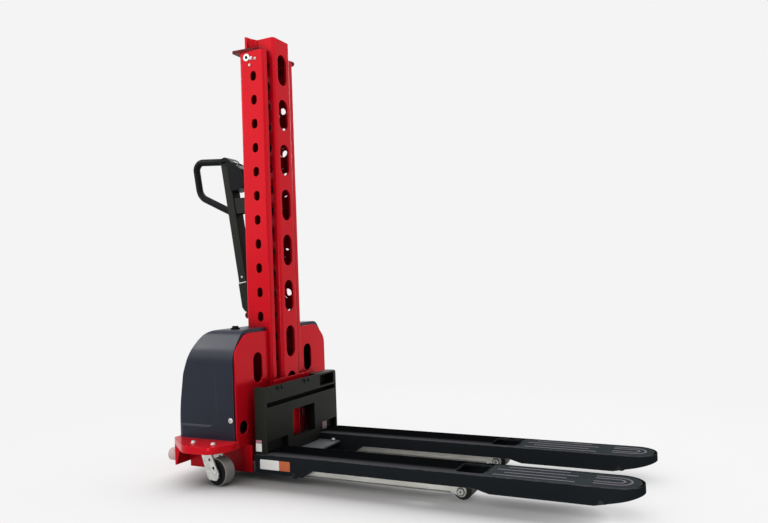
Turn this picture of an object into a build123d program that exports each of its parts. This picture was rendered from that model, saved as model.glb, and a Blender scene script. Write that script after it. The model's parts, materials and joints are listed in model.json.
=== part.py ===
from build123d import *
import os

# Sizes are in millimetres. +X points to the fork tips and +Z is up. While building,
# x = 0 lies just behind the front face of the inner mast, and the floor is z = 0.

# Fits between pieces
running_fit = 0.05
seat_gap = 0.05
air_gap = 0.3
side_play = 1.0

# Inner mast: a slotted column with a flat guide plate along its back
column_front = 5.0
column_width = 100.0
column_bend = 10.0
column_depth = 93.0
column_front_wall = 8.0
column_side_wall = 6.0
column_length = 1456.0
column_foot_gap = 8.0
guide_width = 156.0
guide_thickness = 6.0
guide_rise = 8.0
neck_round = 25.0
slot_width = 54.0
slot_height = 112.0
slot_pitch = 162.5
slot_count = 8
slot_drop = 109.5
window_radius = 17.0
window_pitch = 74.0
window_count = 15
window_drop = 101.0
window_setback = 32.0
head_thickness = 12.0
head_drop = 32.0

# Outer mast: a lipped channel that the guide plate runs in
channel_wall = 6.0
channel_bend = 8.0
channel_length = 1413.0
wing_play = 9.5
web_play = 8.0
lip_setback = 11.0
lip_play = 20.0
side_hole_width = 25.0
side_hole_height = 35.0
side_hole_pitch = 85.0
side_hole_count = 11
side_hole_drop = 91.0
side_hole_setback = 44.0

# Plate on top of the outer mast
cap_thickness = 10.0
cap_rear_overhang = 28.0
cap_side_overhang = 8.0
cap_front_setback = 15.0
cap_corner = 28.0
cap_play = 3.0

# Guide rollers between the two masts
top_roller_radius = 12.0
top_roller_drop = 22.0
top_pin_radius = 5.0
washer_radius = 13.0
washer_thickness = 3.0
low_roller_radius = 22.0
low_roller_rise = 37.0
low_pin_radius = 6.0
pin_head_radius = 8.0
pin_head_height = 5.0
guide_roller_width = 18.0
roller_edge = 1.5

# Hydraulic cylinder in the column
barrel_radius = 30.0
barrel_wall = 6.0
barrel_length = 1250.0
barrel_floor = 12.0
gland_height = 24.0
rod_radius = 18.0
piston_height = 30.0

# Small stub on the mast
stub_radius = 9.0
stub_length = 11.0
stub_drop = 4.0
stub_setback = 8.0

# Platform with a folded skirt
platform_height = 132.0
platform_sheet = 6.0
skirt_depth = 23.0
platform_rear = 277.0
platform_rear_half = 294.0
flare_rear = 160.0
flare_rear_half = 387.0
flare_front = 50.0
flare_taper = 4.0
nose_setback = 18.0
nose_half = 312.0
platform_rounds = (12.0, 60.0, 45.0, 12.0)
bolt_line_setback = 115.0
bolt_pitch = 81.0
bolt_inset = 49.0
bolt_radius = 8.0
bolt_height = 6.0

# Frame under the platform
rear_plate_bottom = 39.0
beam_bottom = 19.0
frame_sheet = 6.0
foot_height = 50.0
foot_thickness = 10.0
foot_overhang = 20.0
gusset_depth = 22.0
buffer_radius = 21.0
buffer_length = 36.0
buffer_height = 69.0
buffer_inset = 24.0
buffer_edge = 4.0

# Upright front plate
plate_setback = 26.0
plate_thickness = 6.0
plate_width = 556.0
plate_top = 474.0
plate_corner_in = 57.0
plate_corner_drop = 54.0
plate_corner_round = 55.0
plate_edge_gap = 1.0
apron_reach = 18.0
plate_slot_width = 51.0
plate_slot_height = 102.0
plate_slot_spacing = 310.0
plate_slot_drop = 120.0
plate_hole_radius = 22.0
plate_hole_spacing = 480.0
plate_hole_rise = 37.0

# Hood over battery and pump
hood_wall = 5.0
hood_lip = 14.0
hood_half = 284.0
hood_rear = 275.0
hood_rise = 12.0
hood_shoulder = 241.0
hood_shoulder_drop = 141.0
hood_brow = 188.0
hood_crease_drop = 74.0
hood_brow_half = 228.0
hood_back_round = 60.0
hood_side_round = 90.0
hood_brow_round = 40.0
hood_plan_round = 30.0
hood_mast_gap = 4.0
hood_panel_depth = 3.0
hood_panel_ledge = 6.0
hood_panel_rise = 46.0
hood_panel_setback = 104.0
hood_panel_round = 42.0
hood_panel_fade = 190.0

# Rotary switch on the hood
switch_setback = 90.0
switch_inset = 94.0
switch_radius = 15.0
switch_height = 5.0
knob_radius = 11.0
knob_height = 6.0
knob_stem_radius = 5.0

# Battery and pump unit under the hood
battery_length = 150.0
battery_height = 190.0
battery_hood_gap = 29.0
battery_mast_gap = 21.5
store_setback = 150.0
motor_radius = 55.0
motor_height = 150.0
tank_length = 130.0
tank_width = 120.0
tank_height = 90.0
motor_edge = 8.0
store_corner = 10.0
terminal_radius = 9.0
terminal_height = 16.0
terminal_spacing = 84.0

# Support legs that nest inside the forks
leg_clearance = 18.0
leg_width = 88.0
leg_height = 30.0
leg_wall = 6.0
leg_chamfer = 7.0
cheek_thickness = 10.0
cheek_round = 16.0
load_roller_radius = 27.0
load_roller_to_tip = 492.0
load_roller_gap = 8.0
load_roller_edge = 3.0
load_axle_radius = 8.0
axle_head_radius = 12.0
axle_head_height = 5.0

# Forks
fork_top = 84.0
fork_sheet = 6.0
fork_width = 131.0
fork_gap = 205.0
fork_length = 1150.0
heel_back = 8.0
seat_depth = 2.0
heel_bottom = 22.0
heel_length = 182.0
heel_ramp = 38.0
wall_bottom = 46.0
tip_length = 444.0
tip_bottom = 35.0
tip_ramp = 42.0
nose_length = 122.0
nose_bottom = 62.0
hatch_width = 92.0
hatch_rear = 18.0
hatch_front = 68.0
hatch_corner = 12.0
tread_length = 418.0
tread_margin = 9.0
tread_thickness = 3.0
tread_gap = 0.4
rib_count = 4
rib_pitch = 27.0
rib_width = 6.0
rib_height = 1.0
rib_length = 225.0
rib_stagger = 26.0
rib_start = 20.0
arch_radii = (36.0, 18.0)
arch_leg = 62.0
heel_roller_radius = 15.0
heel_roller_width = 11.0
heel_roller_x = 157.0
heel_roller_z = 29.0
heel_pin_radius = 4.0
tip_roller_radius = 16.0
tip_roller_to_tip = 104.0
tip_roller_z = 44.0
tip_roller_width = 60.0
tip_axle_radius = 5.0

# Carriage between inner mast and forks
mount_thickness = 6.0
mount_width = 230.0
mount_rise = 116.0
mount_height = 107.0
carriage_width = 452.0
carriage_front = 52.0
carriage_height = 214.0
carriage_side = 8.0
bar_height = 51.0
bar_gap = 16.0
panel_thickness = 8.0
bar_flange_depth = 48.0
heel_bay_height = 37.0
heel_bay_depth = 26.0
web_lean = 18.0
sill_bottom = 62.0
sill_height = 34.0
window_sill = 8.0
window_width = 138.0
window_height = 96.0
pocket_width = 98.0
pocket_edge = 8.0
pocket_wall = 6.0
carriage_bolt_radius = 7.0
carriage_bolt_height = 5.0
carriage_bolt_drop = 10.0
carriage_bolt_ys = (-152.0, -130.0, 12.0, 35.0)
cross_thickness = 6.0
cross_front = 135.0
cross_back = 20.0
cross_bolt_radius = 8.0
cross_bolt_height = 5.0
cross_bolt_inset = 18.0

# Casters
caster_setback = 99.0
caster_inset = 73.0
caster_room = 88.0
caster_turn = 5.0
caster_trail = 34.0
caster_plate_length = 110.0
caster_plate_width = 84.0
caster_plate_thickness = 6.0
race_radius = 26.0
race_height = 8.0
kingpin_radius = 7.0
kingpin_head_radius = 12.0
kingpin_head_height = 8.0
crown_radius = 28.0
crown_thickness = 10.0
bridge_half = 20.0
caster_leg = 5.0
caster_leg_edge = 15.0
caster_leg_drop = 25.0
caster_leg_corner = 9.0
caster_leg_width = 47.0
bracket_hole_radius = 5.0
bracket_holes = ((12.5, 83.0), (28.5, 58.0))
caster_radius = 44.0
caster_width = 40.0
hub_radius = 41.0
hub_inset = 0.5
dish_inner = 12.0
dish_outer = 30.0
dish_depth = 4.0
wheel_edge = 1.5
tyre_edge = 2.0
caster_axle_radius = 5.0
caster_bolt_radius = 9.0
caster_bolt_height = 5.0

# Tiller
pivot_setback = 164.5
pivot_rise = 38.0
tiller_lean = 8.8
hinge_radius = 5.0
ear_thickness = 6.0
ear_radius = 12.0
ear_gap = 0.5
bracket_base = 6.0
bracket_height = 60.0
hinge_head_radius = 8.0
hinge_head_height = 4.0
arm_depth = 33.0
arm_width = 46.0
arm_wall = 3.0
arm_start = 34.0
arm_end = 578.0
sleeve_depth = 36.0
sleeve_width = 50.0
sleeve_top = 120.0
sleeve_bottom = 14.0
sleeve_taper = (11.0, 18.0)
tongue_depth = 18.0
tongue_width = 34.0
loop_radius = 13.0
loop_reach = 151.5
loop_high_start = 583.0
loop_high = 619.0
loop_low = 484.0
loop_low_start = 380.0
loop_high_bend = 28.0
loop_low_bend = 55.0
head_width = 64.0
head_front = 82.0
head_bottom = 462.0
head_front_top = 529.0
head_chin = 13.0
head_crest = 14.0
head_fall = 4.0
head_round = 12.0
head_top = 594.0
button_radius = 9.0
button_rise = 3.5
button_depth = 4.0
button_pocket = 8.0
button_half = 15.0
button_edge = 1.2
button_along = 0.45
stop_rise = 376.0
stop_height = 57.0
stop_width = 40.0
stop_base = 6.0
stop_flange = 9.0

# Places that follow from the sizes above
sides = {"left": 1, "right": -1}
column_half = column_width / 2
guide_half = guide_width / 2
foot_top = foot_height
column_bottom = foot_top + column_foot_gap
column_top = column_bottom + column_length
guide_back = -column_depth - guide_thickness
web_front = guide_back - web_play
web_back = web_front - channel_wall
channel_inner_half = guide_half + wing_play
channel_half = channel_inner_half + channel_wall
channel_top = foot_top + channel_length
lip_front = -lip_setback
lip_back = lip_front - channel_wall
lip_edge = column_half + lip_play
mount_front = column_front + mount_thickness
guide_roller_in = column_half + (channel_inner_half - column_half - guide_roller_width) / 2
guide_roller_out = guide_roller_in + guide_roller_width
top_roller_x = -column_depth + top_roller_radius + air_gap
top_roller_z = channel_top - top_roller_drop
low_roller_x = web_front + low_roller_radius + air_gap
low_roller_z = column_bottom + low_roller_rise
cylinder_x = -(column_front_wall + column_depth) / 2
plate_front = -plate_setback
plate_back = plate_front - plate_thickness
plate_half = plate_width / 2
skirt_bottom = platform_height - skirt_depth
sheet_under = platform_height - platform_sheet
hood_top = plate_top + hood_rise
tip_x = carriage_front + fork_length
fork_mid = (fork_gap + fork_width) / 2
load_roller_x = tip_x - load_roller_to_tip
leg_end = load_roller_x - load_roller_radius - load_roller_gap
tip_start = tip_x - tip_length
tread_start = tip_x - tread_length
tip_roller_x = tip_x - tip_roller_to_tip
carriage_top = fork_top + carriage_height
carriage_seat = fork_top - seat_depth
carriage_half = carriage_width / 2
panel_top = carriage_top - bar_height - bar_gap
sill_top = sill_bottom + sill_height
caster_x = -caster_setback
flare_front_half = flare_rear_half - flare_taper
switch_half = hood_half - switch_inset
battery_inner = channel_half + battery_mast_gap
battery_outer = hood_half - battery_hood_gap
battery_half = (battery_inner + battery_outer) / 2
caster_half = flare_rear_half - caster_inset
bolt_half = flare_rear_half - bolt_inset
beam_half = caster_half - caster_room
race_bottom = sheet_under - caster_plate_thickness - race_height
crown_top = race_bottom - air_gap
crown_bottom = crown_top - crown_thickness
caster_leg_in = caster_width / 2 + side_play
pivot_x = -pivot_setback
pivot_height = hood_top + pivot_rise
stop_bottom = pivot_height + stop_rise
tiller_place = Pos(pivot_x, 0, pivot_height) * Rot(0, -tiller_lean, 0)


def block(x, y, z):
    size = [max(pair) - min(pair) for pair in (x, y, z)]
    middle = [sum(pair) / 2 for pair in (x, y, z)]
    return Pos(*middle) * Box(*size)


def outline(points, rounds=0):
    return make_face(FilletPolyline(*points, radius=rounds, close=True))


def plan_prism(points, z, rounds=0):
    return extrude(Plane.XY.offset(z[0]) * outline(points, rounds), amount=z[1] - z[0])


def front_prism(points, x, rounds=0):
    return extrude(Plane.YZ.offset(x[0]) * outline(points, rounds), amount=x[1] - x[0])


def side_prism(points, y, rounds=0):
    low, high = sorted(y)
    return extrude(Plane.XZ.offset(-low) * outline(points, rounds), amount=low - high)


def rod_x(radius, x, y, z):
    return Pos(sum(x) / 2, y, z) * Rot(0, 90, 0) * Cylinder(radius, max(x) - min(x))


def rod_y(radius, y, x, z):
    return Pos(x, sum(y) / 2, z) * Rot(90, 0, 0) * Cylinder(radius, max(y) - min(y))


def rod_z(radius, z, x, y):
    return Pos(x, y, sum(z) / 2) * Cylinder(radius, max(z) - min(z))


def slot_x(width, height, x, y, z):
    face = Plane.YZ.offset(x[0]) * Pos(y, z) * SlotOverall(height, width, rotation=90)
    return extrude(face, amount=x[1] - x[0])


def slot_y(width, height, y, x, z):
    low, high = sorted(y)
    face = Plane.XZ.offset(-low) * Pos(x, z) * SlotOverall(height, width, rotation=90)
    return extrude(face, amount=low - high)


def roller(radius, width, bore, edge=roller_edge):
    # A roller about the Y axis with rounded-off rims
    half = width / 2
    profile = [(bore, -half), (radius - edge, -half), (radius, -half + edge),
               (radius, half - edge), (radius - edge, half), (bore, half)]
    return revolve(Plane.XY * outline([(r, w) for r, w in profile]), Axis.Y)


def inner_mast():
    inside = column_half - column_side_wall
    wall_back = column_front - column_front_wall
    column_z = (column_bottom, column_top)
    corners = [(-column_depth, -column_half), (column_front, -column_half),
               (column_front, column_half), (-column_depth, column_half)]
    column = plan_prism(corners, column_z, [0, column_bend, column_bend, 0])
    column -= block((-column_depth, wall_back), (-inside, inside), column_z)
    guide_z = (column_bottom, column_top + guide_rise)
    guide = block((guide_back, -column_depth), (-guide_half, guide_half), guide_z)
    relief = (column_bottom, low_roller_z + low_roller_radius + foot_thickness)
    for side in sides.values():
        guide -= block((guide_back, -column_depth), (side * column_half, side * guide_half), relief)
    head_top = column_top - head_drop
    head_z = (head_top - head_thickness, head_top)
    mast = column + guide + block((-column_depth, wall_back), (-inside, inside), head_z)
    for side in sides.values():
        mast += mast_neck(side)
    for i in range(slot_count):
        z = column_top - slot_drop - i * slot_pitch
        mast -= slot_x(slot_width, slot_height, (wall_back, column_front), 0, z)
    for i in range(window_count):
        z = column_top - window_drop - i * window_pitch
        mast -= rod_y(window_radius, (-column_half, column_half), -window_setback, z)
    for side in sides.values():
        wall = (side * inside, side * column_half)
        mast -= rod_y(low_pin_radius + seat_gap, wall, low_roller_x, low_roller_z)
    return mast


def mast_neck(side):
    # Above the cap plate the column's side sweeps out into the guide plate
    low = channel_top + cap_thickness + cap_play
    high = column_top + guide_rise
    front = -column_depth + guide_half - column_half
    slope = [(-column_depth, low), (front, low), (front, column_top), (-column_depth, high)]
    web = side_prism(slope, (side * column_half, side * guide_half))
    return web - rod_z(neck_round, (low, high), front, side * guide_half)


def channel_form(inset, z):
    # The folded sheet keeps one bend centre, so the inner bend is tighter by the wall
    half = channel_half - inset
    back = web_back + inset
    front = lip_front - inset
    return plan_prism([(back, -half), (front, -half), (front, half), (back, half)], z, channel_bend - inset)


def outer_mast():
    z = (foot_top, channel_top)
    mast = channel_form(0, z) - channel_form(channel_wall, z)
    mast -= block((lip_back, lip_front), (-lip_edge, lip_edge), z)
    for side in sides.values():
        wall = (side * channel_inner_half, side * channel_half)
        for i in range(side_hole_count):
            hole_z = channel_top - side_hole_drop - i * side_hole_pitch
            hole_x = lip_front - side_hole_setback
            mast -= slot_y(side_hole_width, side_hole_height, wall, hole_x, hole_z)
        mast -= rod_y(top_pin_radius + seat_gap, wall, top_roller_x, top_roller_z)
    return mast


def mast_cap_plate():
    rear = web_back - cap_rear_overhang
    front = lip_front - cap_front_setback
    wide = channel_half + cap_side_overhang
    corners = [(rear, -wide), (front, -channel_half), (front, channel_half), (rear, wide)]
    z = (channel_top, channel_top + cap_thickness)
    plate = plan_prism(corners, z, [cap_corner / 4, cap_corner, cap_corner, cap_corner / 4])
    column_gap = column_half + cap_play
    wing_gap = guide_half + cap_play
    plate -= block((-column_depth, 0), (-column_gap, column_gap), z)
    plate -= block((guide_back - web_play, -column_depth + cap_play), (-wing_gap, wing_gap), z)
    return plate


def top_guide_roller(side):
    middle = side * (guide_roller_in + guide_roller_out) / 2
    wheel = roller(top_roller_radius, guide_roller_width, top_pin_radius + running_fit)
    return Pos(top_roller_x, middle, top_roller_z) * wheel


def top_guide_pins():
    pins = []
    for side in sides.values():
        inner = guide_roller_in - side_play
        outer = channel_half + washer_thickness
        pin = rod_y(top_pin_radius, (side * inner, side * outer), top_roller_x, top_roller_z)
        washer_y = (side * channel_half, side * outer)
        pins.append(pin + rod_y(washer_radius, washer_y, top_roller_x, top_roller_z))
    return pins


def low_guide_roller(side):
    middle = side * (guide_roller_in + guide_roller_out) / 2
    wheel = roller(low_roller_radius, guide_roller_width, low_pin_radius + running_fit)
    return Pos(low_roller_x, middle, low_roller_z) * wheel


def low_guide_pins():
    pins = []
    for side in sides.values():
        inside = column_half - column_side_wall
        outer = guide_roller_out + side_play
        pin = rod_y(low_pin_radius, (side * inside, side * outer), low_roller_x, low_roller_z)
        head_y = (side * (inside - pin_head_height), side * inside)
        pins.append(pin + rod_y(pin_head_radius, head_y, low_roller_x, low_roller_z))
    return pins


def lift_cylinder():
    top = foot_top + barrel_length
    bore = barrel_radius - barrel_wall
    barrel = rod_z(barrel_radius, (foot_top, top), cylinder_x, 0)
    barrel -= rod_z(bore, (foot_top + barrel_floor, top - gland_height), cylinder_x, 0)
    return barrel - rod_z(rod_radius + running_fit, (top - gland_height, top), cylinder_x, 0)


def cylinder_rod():
    low = foot_top + barrel_floor + side_play
    high = column_top - head_drop - head_thickness
    piston_radius = barrel_radius - barrel_wall - running_fit
    rod = rod_z(rod_radius, (low, high), cylinder_x, 0)
    return rod + rod_z(piston_radius, (low, low + piston_height), cylinder_x, 0)


def limit_switch():
    # The stub is shaped to sit on the bend of the channel
    z = channel_top - stub_drop
    y = (channel_half - channel_bend, channel_half + stub_length)
    stub = rod_y(stub_radius, y, lip_front - stub_setback, z)
    return stub - channel_form(0, (z - stub_radius, z + stub_radius))


def platform_points(side):
    return [(-platform_rear, side * platform_rear_half), (-flare_rear, side * flare_rear_half),
            (-flare_front, side * flare_front_half), (-nose_setback, side * nose_half),
            (-nose_setback, side * (plate_half + plate_edge_gap)),
            (plate_back, side * (plate_half + plate_edge_gap))]


def base_platform():
    points = platform_points(-1) + platform_points(1)[::-1]
    rounds = list(platform_rounds) + [0, 0]
    face = outline(points, rounds + rounds[::-1])
    tray = extrude(Plane.XY.offset(skirt_bottom) * face, amount=skirt_depth)
    hollow = offset(face, -platform_sheet, kind=Kind.INTERSECTION)
    tray -= extrude(Plane.XY.offset(skirt_bottom) * hollow, amount=skirt_depth - platform_sheet)
    return tray - block((web_back, 0), (-channel_half, channel_half), (skirt_bottom, platform_height))


def platform_bolts():
    bolts = []
    for side in sides.values():
        for step in (-0.5, 0.5):
            x = -bolt_line_setback + step * bolt_pitch
            z = (platform_height, platform_height + bolt_height)
            bolts.append(rod_z(bolt_radius, z, x, side * bolt_half))
    return bolts


def base_frame():
    rear = -platform_rear
    inner = rear + frame_sheet
    frame = block((rear, inner), (-platform_rear_half, platform_rear_half), (rear_plate_bottom, skirt_bottom))
    beam_end = plate_back - platform_sheet
    for side in sides.values():
        beam_y = (side * (beam_half - frame_sheet), side * beam_half)
        frame += block((inner, beam_end), beam_y, (beam_bottom, sheet_under))
        frame += block((beam_end, plate_back), beam_y, (beam_bottom, skirt_bottom - plate_edge_gap))
        gusset = [(inner, skirt_bottom), (inner + gusset_depth, skirt_bottom), (inner, rear_plate_bottom)]
        end_y = (side * (platform_rear_half - frame_sheet), side * platform_rear_half)
        frame += side_prism(gusset, end_y)
    foot_x = (web_back - foot_overhang, plate_back)
    foot_half = beam_half - frame_sheet
    return frame + block(foot_x, (-foot_half, foot_half), (foot_top - foot_thickness, foot_top))


def rear_buffers():
    buffers = []
    for side in sides.values():
        x = (-platform_rear - buffer_length, -platform_rear)
        pad = rod_x(buffer_radius, x, side * (platform_rear_half - buffer_inset), buffer_height)
        rim = pad.edges().filter_by(GeomType.CIRCLE).sort_by(Axis.X)[0]
        buffers.append(chamfer(rim, buffer_edge))
    return buffers


def front_plate():
    corner = plate_half - plate_corner_in
    apron_z = (beam_bottom, skirt_bottom - plate_edge_gap)
    half = [(beam_half, apron_z[0]), (beam_half, apron_z[1]), (plate_half, skirt_bottom),
            (plate_half, plate_top - plate_corner_drop), (corner, plate_top)]
    points = half + [(-y, z) for y, z in reversed(half)]
    x = (plate_back, plate_front)
    rounds = [0, 0, 0, plate_corner_round, plate_corner_round]
    plate = front_prism(points, x, rounds + rounds[::-1])
    plate -= block(x, (-channel_half, channel_half), (foot_top, plate_top))
    for side in sides.values():
        slot_z = plate_top - plate_slot_drop
        slot_y_place = side * plate_slot_spacing / 2
        plate -= slot_x(plate_slot_width, plate_slot_height, x, slot_y_place, slot_z)
        hole_z = platform_height + plate_hole_rise
        plate -= rod_x(plate_hole_radius, x, side * plate_hole_spacing / 2, hole_z)
        # Short returns carry the line of the beams on past the plate
        return_y = (side * (beam_half - frame_sheet), side * beam_half)
        plate += block((plate_front, plate_front + apron_reach), return_y, apron_z)
    return plate


def hood_form(inset):
    # The same form serves as outer skin and, set inwards, as the hollow
    low = platform_height - inset
    high = hood_top - inset
    front = plate_back + inset
    half = hood_half - inset
    brow_half = hood_brow_half - inset / 2
    crease = hood_top - hood_crease_drop - inset / 2
    rear = -hood_rear + inset
    face = [(half, low), (half, crease), (brow_half, high)]
    face += [(-y, z) for y, z in reversed(face)]
    face_rounds = [0, hood_side_round, hood_brow_round, hood_brow_round, hood_side_round, 0]
    profile = [(front, low), (rear, low), (-hood_shoulder + inset, hood_top - hood_shoulder_drop - inset / 2),
               (-hood_brow + inset / 2, high), (front, high)]
    profile_rounds = [0, 0, hood_back_round, hood_back_round, 0]
    plan = [(front, -half), (rear, -half), (rear, half), (front, half)]
    plan_rounds = [0, hood_plan_round, hood_plan_round, 0]
    form = front_prism(face, (rear, front), face_rounds)
    form &= side_prism(profile, (-half, half), profile_rounds)
    return form & plan_prism(plan, (low, high), plan_rounds)


def hood():
    behind = (-hood_rear, plate_back - hood_wall)
    hollow = hood_form(hood_wall) & block(behind, (-hood_half, hood_half), (0, hood_top))
    # A lip turned inwards at the front edge lies against the plate
    shell = hood_form(0) - hollow - hood_form(hood_lip)
    gap_half = channel_half + hood_mast_gap
    opening = (web_back - hood_mast_gap, plate_back)
    shell -= block(opening, (-gap_half, gap_half), (platform_height, hood_top))
    low = platform_height + hood_panel_rise
    foot = low - hood_panel_ledge
    panel = [(-hood_rear, foot), (-hood_panel_setback, foot), (-hood_panel_setback, hood_top),
             (-hood_rear, hood_top)]
    for side in sides.values():
        floor = side * (hood_half - hood_panel_depth)
        recess = side_prism(panel, (floor, side * hood_half), [0, hood_panel_round, 0, 0])
        # The recess is deepest along its lower edge and runs out towards the top
        fade = [(side * hood_half, foot), (floor, low), (side * hood_half, low + hood_panel_fade)]
        shell -= recess & front_prism(fade, (-hood_rear, -hood_panel_setback))
    return shell


def key_switch():
    z = (hood_top, hood_top + switch_height)
    ring = rod_z(switch_radius, z, -switch_setback, -switch_half)
    return ring - rod_z(knob_stem_radius + air_gap, z, -switch_setback, -switch_half)


def switch_knob():
    low = hood_top + air_gap
    seat = hood_top + switch_height + air_gap
    knob = rod_z(knob_stem_radius, (low, seat), -switch_setback, -switch_half)
    cap = rod_z(knob_radius, (seat, seat + knob_height), -switch_setback, -switch_half)
    grip = knob_radius / 3
    for turn in (-1, 1):
        y = (-switch_half + turn * grip, -switch_half + turn * knob_radius)
        x = (-switch_setback - knob_radius, -switch_setback + knob_radius)
        cap -= block(x, y, (seat + knob_height / 3, seat + knob_height))
    return knob + cap


def battery():
    x = (-store_setback - battery_length / 2, -store_setback + battery_length / 2)
    high = platform_height + battery_height
    case = block(x, (battery_inner, battery_outer), (platform_height, high))
    case = fillet(case.edges().filter_by(Axis.Z), store_corner)
    for side in sides.values():
        y = battery_half + side * terminal_spacing / 2
        case += rod_z(terminal_radius, (high, high + terminal_height), -store_setback, y)
    return case


def power_unit():
    middle = -battery_half
    x = (-store_setback - tank_length / 2, -store_setback + tank_length / 2)
    y = (middle - tank_width / 2, middle + tank_width / 2)
    top = platform_height + tank_height
    tank = fillet(block(x, y, (platform_height, top)).edges().filter_by(Axis.Z), store_corner)
    motor = rod_z(motor_radius, (top, top + motor_height), -store_setback, middle)
    return tank + chamfer(motor.edges().filter_by(GeomType.CIRCLE).sort_by(Axis.Z)[-1], motor_edge)


def support_leg(side):
    half = leg_width / 2
    high = leg_clearance + leg_height
    shape = [(-half, high), (half, high), (half, leg_clearance + leg_chamfer),
             (half - leg_chamfer, leg_clearance), (leg_chamfer - half, leg_clearance),
             (-half, leg_clearance + leg_chamfer)]
    leg = front_prism(shape, (plate_front, leg_end))
    cavity = offset(outline(shape), -leg_wall, kind=Kind.INTERSECTION)
    leg -= extrude(Plane.YZ.offset(plate_front) * cavity, amount=leg_end - cheek_thickness - plate_front)
    for end in sides.values():
        y = (end * half, end * (half - cheek_thickness))
        taper = [(leg_end, leg_clearance + leg_chamfer), (load_roller_x, load_roller_radius - cheek_round),
                 (load_roller_x, load_roller_radius + cheek_round), (leg_end, high)]
        cheek = side_prism(taper, y) + rod_y(cheek_round, y, load_roller_x, load_roller_radius)
        cheek -= rod_y(load_axle_radius + seat_gap, y, load_roller_x, load_roller_radius)
        leg += cheek
    return Pos(0, side * fork_mid, 0) * leg


def load_roller(side):
    width = leg_width - 2 * cheek_thickness - 2 * side_play
    wheel = roller(load_roller_radius, width, load_axle_radius + running_fit, load_roller_edge)
    return Pos(load_roller_x, side * fork_mid, load_roller_radius) * wheel


def load_roller_axles():
    axles = []
    for side in sides.values():
        middle = side * fork_mid
        half = leg_width / 2
        axle = rod_y(load_axle_radius, (middle - half, middle + half), load_roller_x, load_roller_radius)
        for end in sides.values():
            y = (middle + end * half, middle + end * (half + axle_head_height))
            axle += rod_y(axle_head_radius, y, load_roller_x, load_roller_radius)
        axles.append(axle)
    return axles


def fork_plan(inset, x):
    # Fork seen from above: straight sides and a round end
    half = fork_width / 2 - inset
    body = Pos((x + tip_x - fork_width / 2) / 2, 0) * Rectangle(tip_x - fork_width / 2 - x, 2 * half)
    return body + Pos(tip_x - fork_width / 2, 0) * Circle(half)


def fork(side):
    profile = [(heel_back, fork_top), (heel_back, heel_bottom), (heel_back + heel_length, heel_bottom),
               (heel_back + heel_length + heel_ramp, wall_bottom), (tip_start, wall_bottom),
               (tip_start + tip_ramp, tip_bottom), (tip_x - nose_length, tip_bottom),
               (tip_x, nose_bottom), (tip_x, fork_top)]
    half = fork_width / 2
    body = extrude(fork_plan(0, heel_back), amount=fork_top) & side_prism(profile, (-half, half))
    body -= extrude(fork_plan(fork_sheet, heel_back), amount=fork_top - fork_sheet)
    body -= block((heel_back, carriage_front), (-half, half), (carriage_seat, fork_top))
    hatch_x = (load_roller_x - hatch_rear, load_roller_x + hatch_front)
    hatch = [(hatch_x[0], -hatch_width / 2), (hatch_x[1], -hatch_width / 2),
             (hatch_x[1], hatch_width / 2), (hatch_x[0], hatch_width / 2)]
    body -= plan_prism(hatch, (fork_top - fork_sheet, fork_top), hatch_corner)
    recess = fork_plan(tread_margin - tread_gap, tread_start - tread_gap)
    body -= extrude(Plane.XY.offset(fork_top - tread_thickness) * recess, amount=tread_thickness)
    outer = (-half, -half + fork_sheet)
    if side > 0:
        outer = (half - fork_sheet, half)
    body -= rod_y(heel_pin_radius + seat_gap, outer, heel_roller_x, heel_roller_z)
    body -= rod_y(tip_axle_radius + seat_gap, (-half, half), tip_roller_x, tip_roller_z)
    return Pos(0, side * fork_mid, 0) * body


def arch_form(radius, z):
    middle = tip_x - fork_width / 2
    form = rod_z(radius, z, middle, 0)
    return form + block((middle - arch_leg, middle), (-radius, radius), z)


def tip_arch(radius, z):
    # A rib that runs forward, round the tip and back again
    return arch_form(radius, z) - arch_form(radius - rib_width, z)


def tip_plate(side):
    base = Plane.XY.offset(fork_top - tread_thickness) * fork_plan(tread_margin, tread_start)
    plate = extrude(base, amount=tread_thickness)
    rib_x = tread_start + rib_start
    rib_z = (fork_top, fork_top + rib_height)
    for i in range(rib_count):
        y = (i - (rib_count - 1) / 2) * rib_pitch
        rib_y = (y - rib_width / 2, y + rib_width / 2)
        step = i % 2 * rib_stagger
        plate += block((rib_x + step, rib_x + rib_length - step), rib_y, rib_z)
    for radius in arch_radii:
        plate += tip_arch(radius, rib_z)
    return Pos(0, side * fork_mid, 0) * plate


def heel_roller_middle(side):
    inner_face = fork_mid + fork_width / 2 - fork_sheet
    return side * (inner_face - side_play - heel_roller_width / 2)


def heel_roller(side):
    wheel = roller(heel_roller_radius, heel_roller_width, heel_pin_radius + running_fit)
    return Pos(heel_roller_x, heel_roller_middle(side), heel_roller_z) * wheel


def tip_roller(side):
    wheel = roller(tip_roller_radius, tip_roller_width, tip_axle_radius + running_fit, 2)
    return Pos(tip_roller_x, side * fork_mid, tip_roller_z) * wheel


def fork_roller_axles():
    axles = []
    for side in sides.values():
        outer = fork_mid + fork_width / 2
        inner = abs(heel_roller_middle(side)) - heel_roller_width / 2
        pin = rod_y(heel_pin_radius, (side * inner, side * outer), heel_roller_x, heel_roller_z)
        axles.append(pin)
        y = (side * (fork_mid - fork_width / 2), side * outer)
        axles.append(rod_y(tip_axle_radius, y, tip_roller_x, tip_roller_z))
    return axles


def mount_plate():
    low = fork_top + mount_rise
    half = mount_width / 2
    points = [(-half, low), (half, low), (half, low + mount_height), (-half, low + mount_height)]
    return front_prism(points, (column_front, mount_front), mount_thickness)


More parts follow.
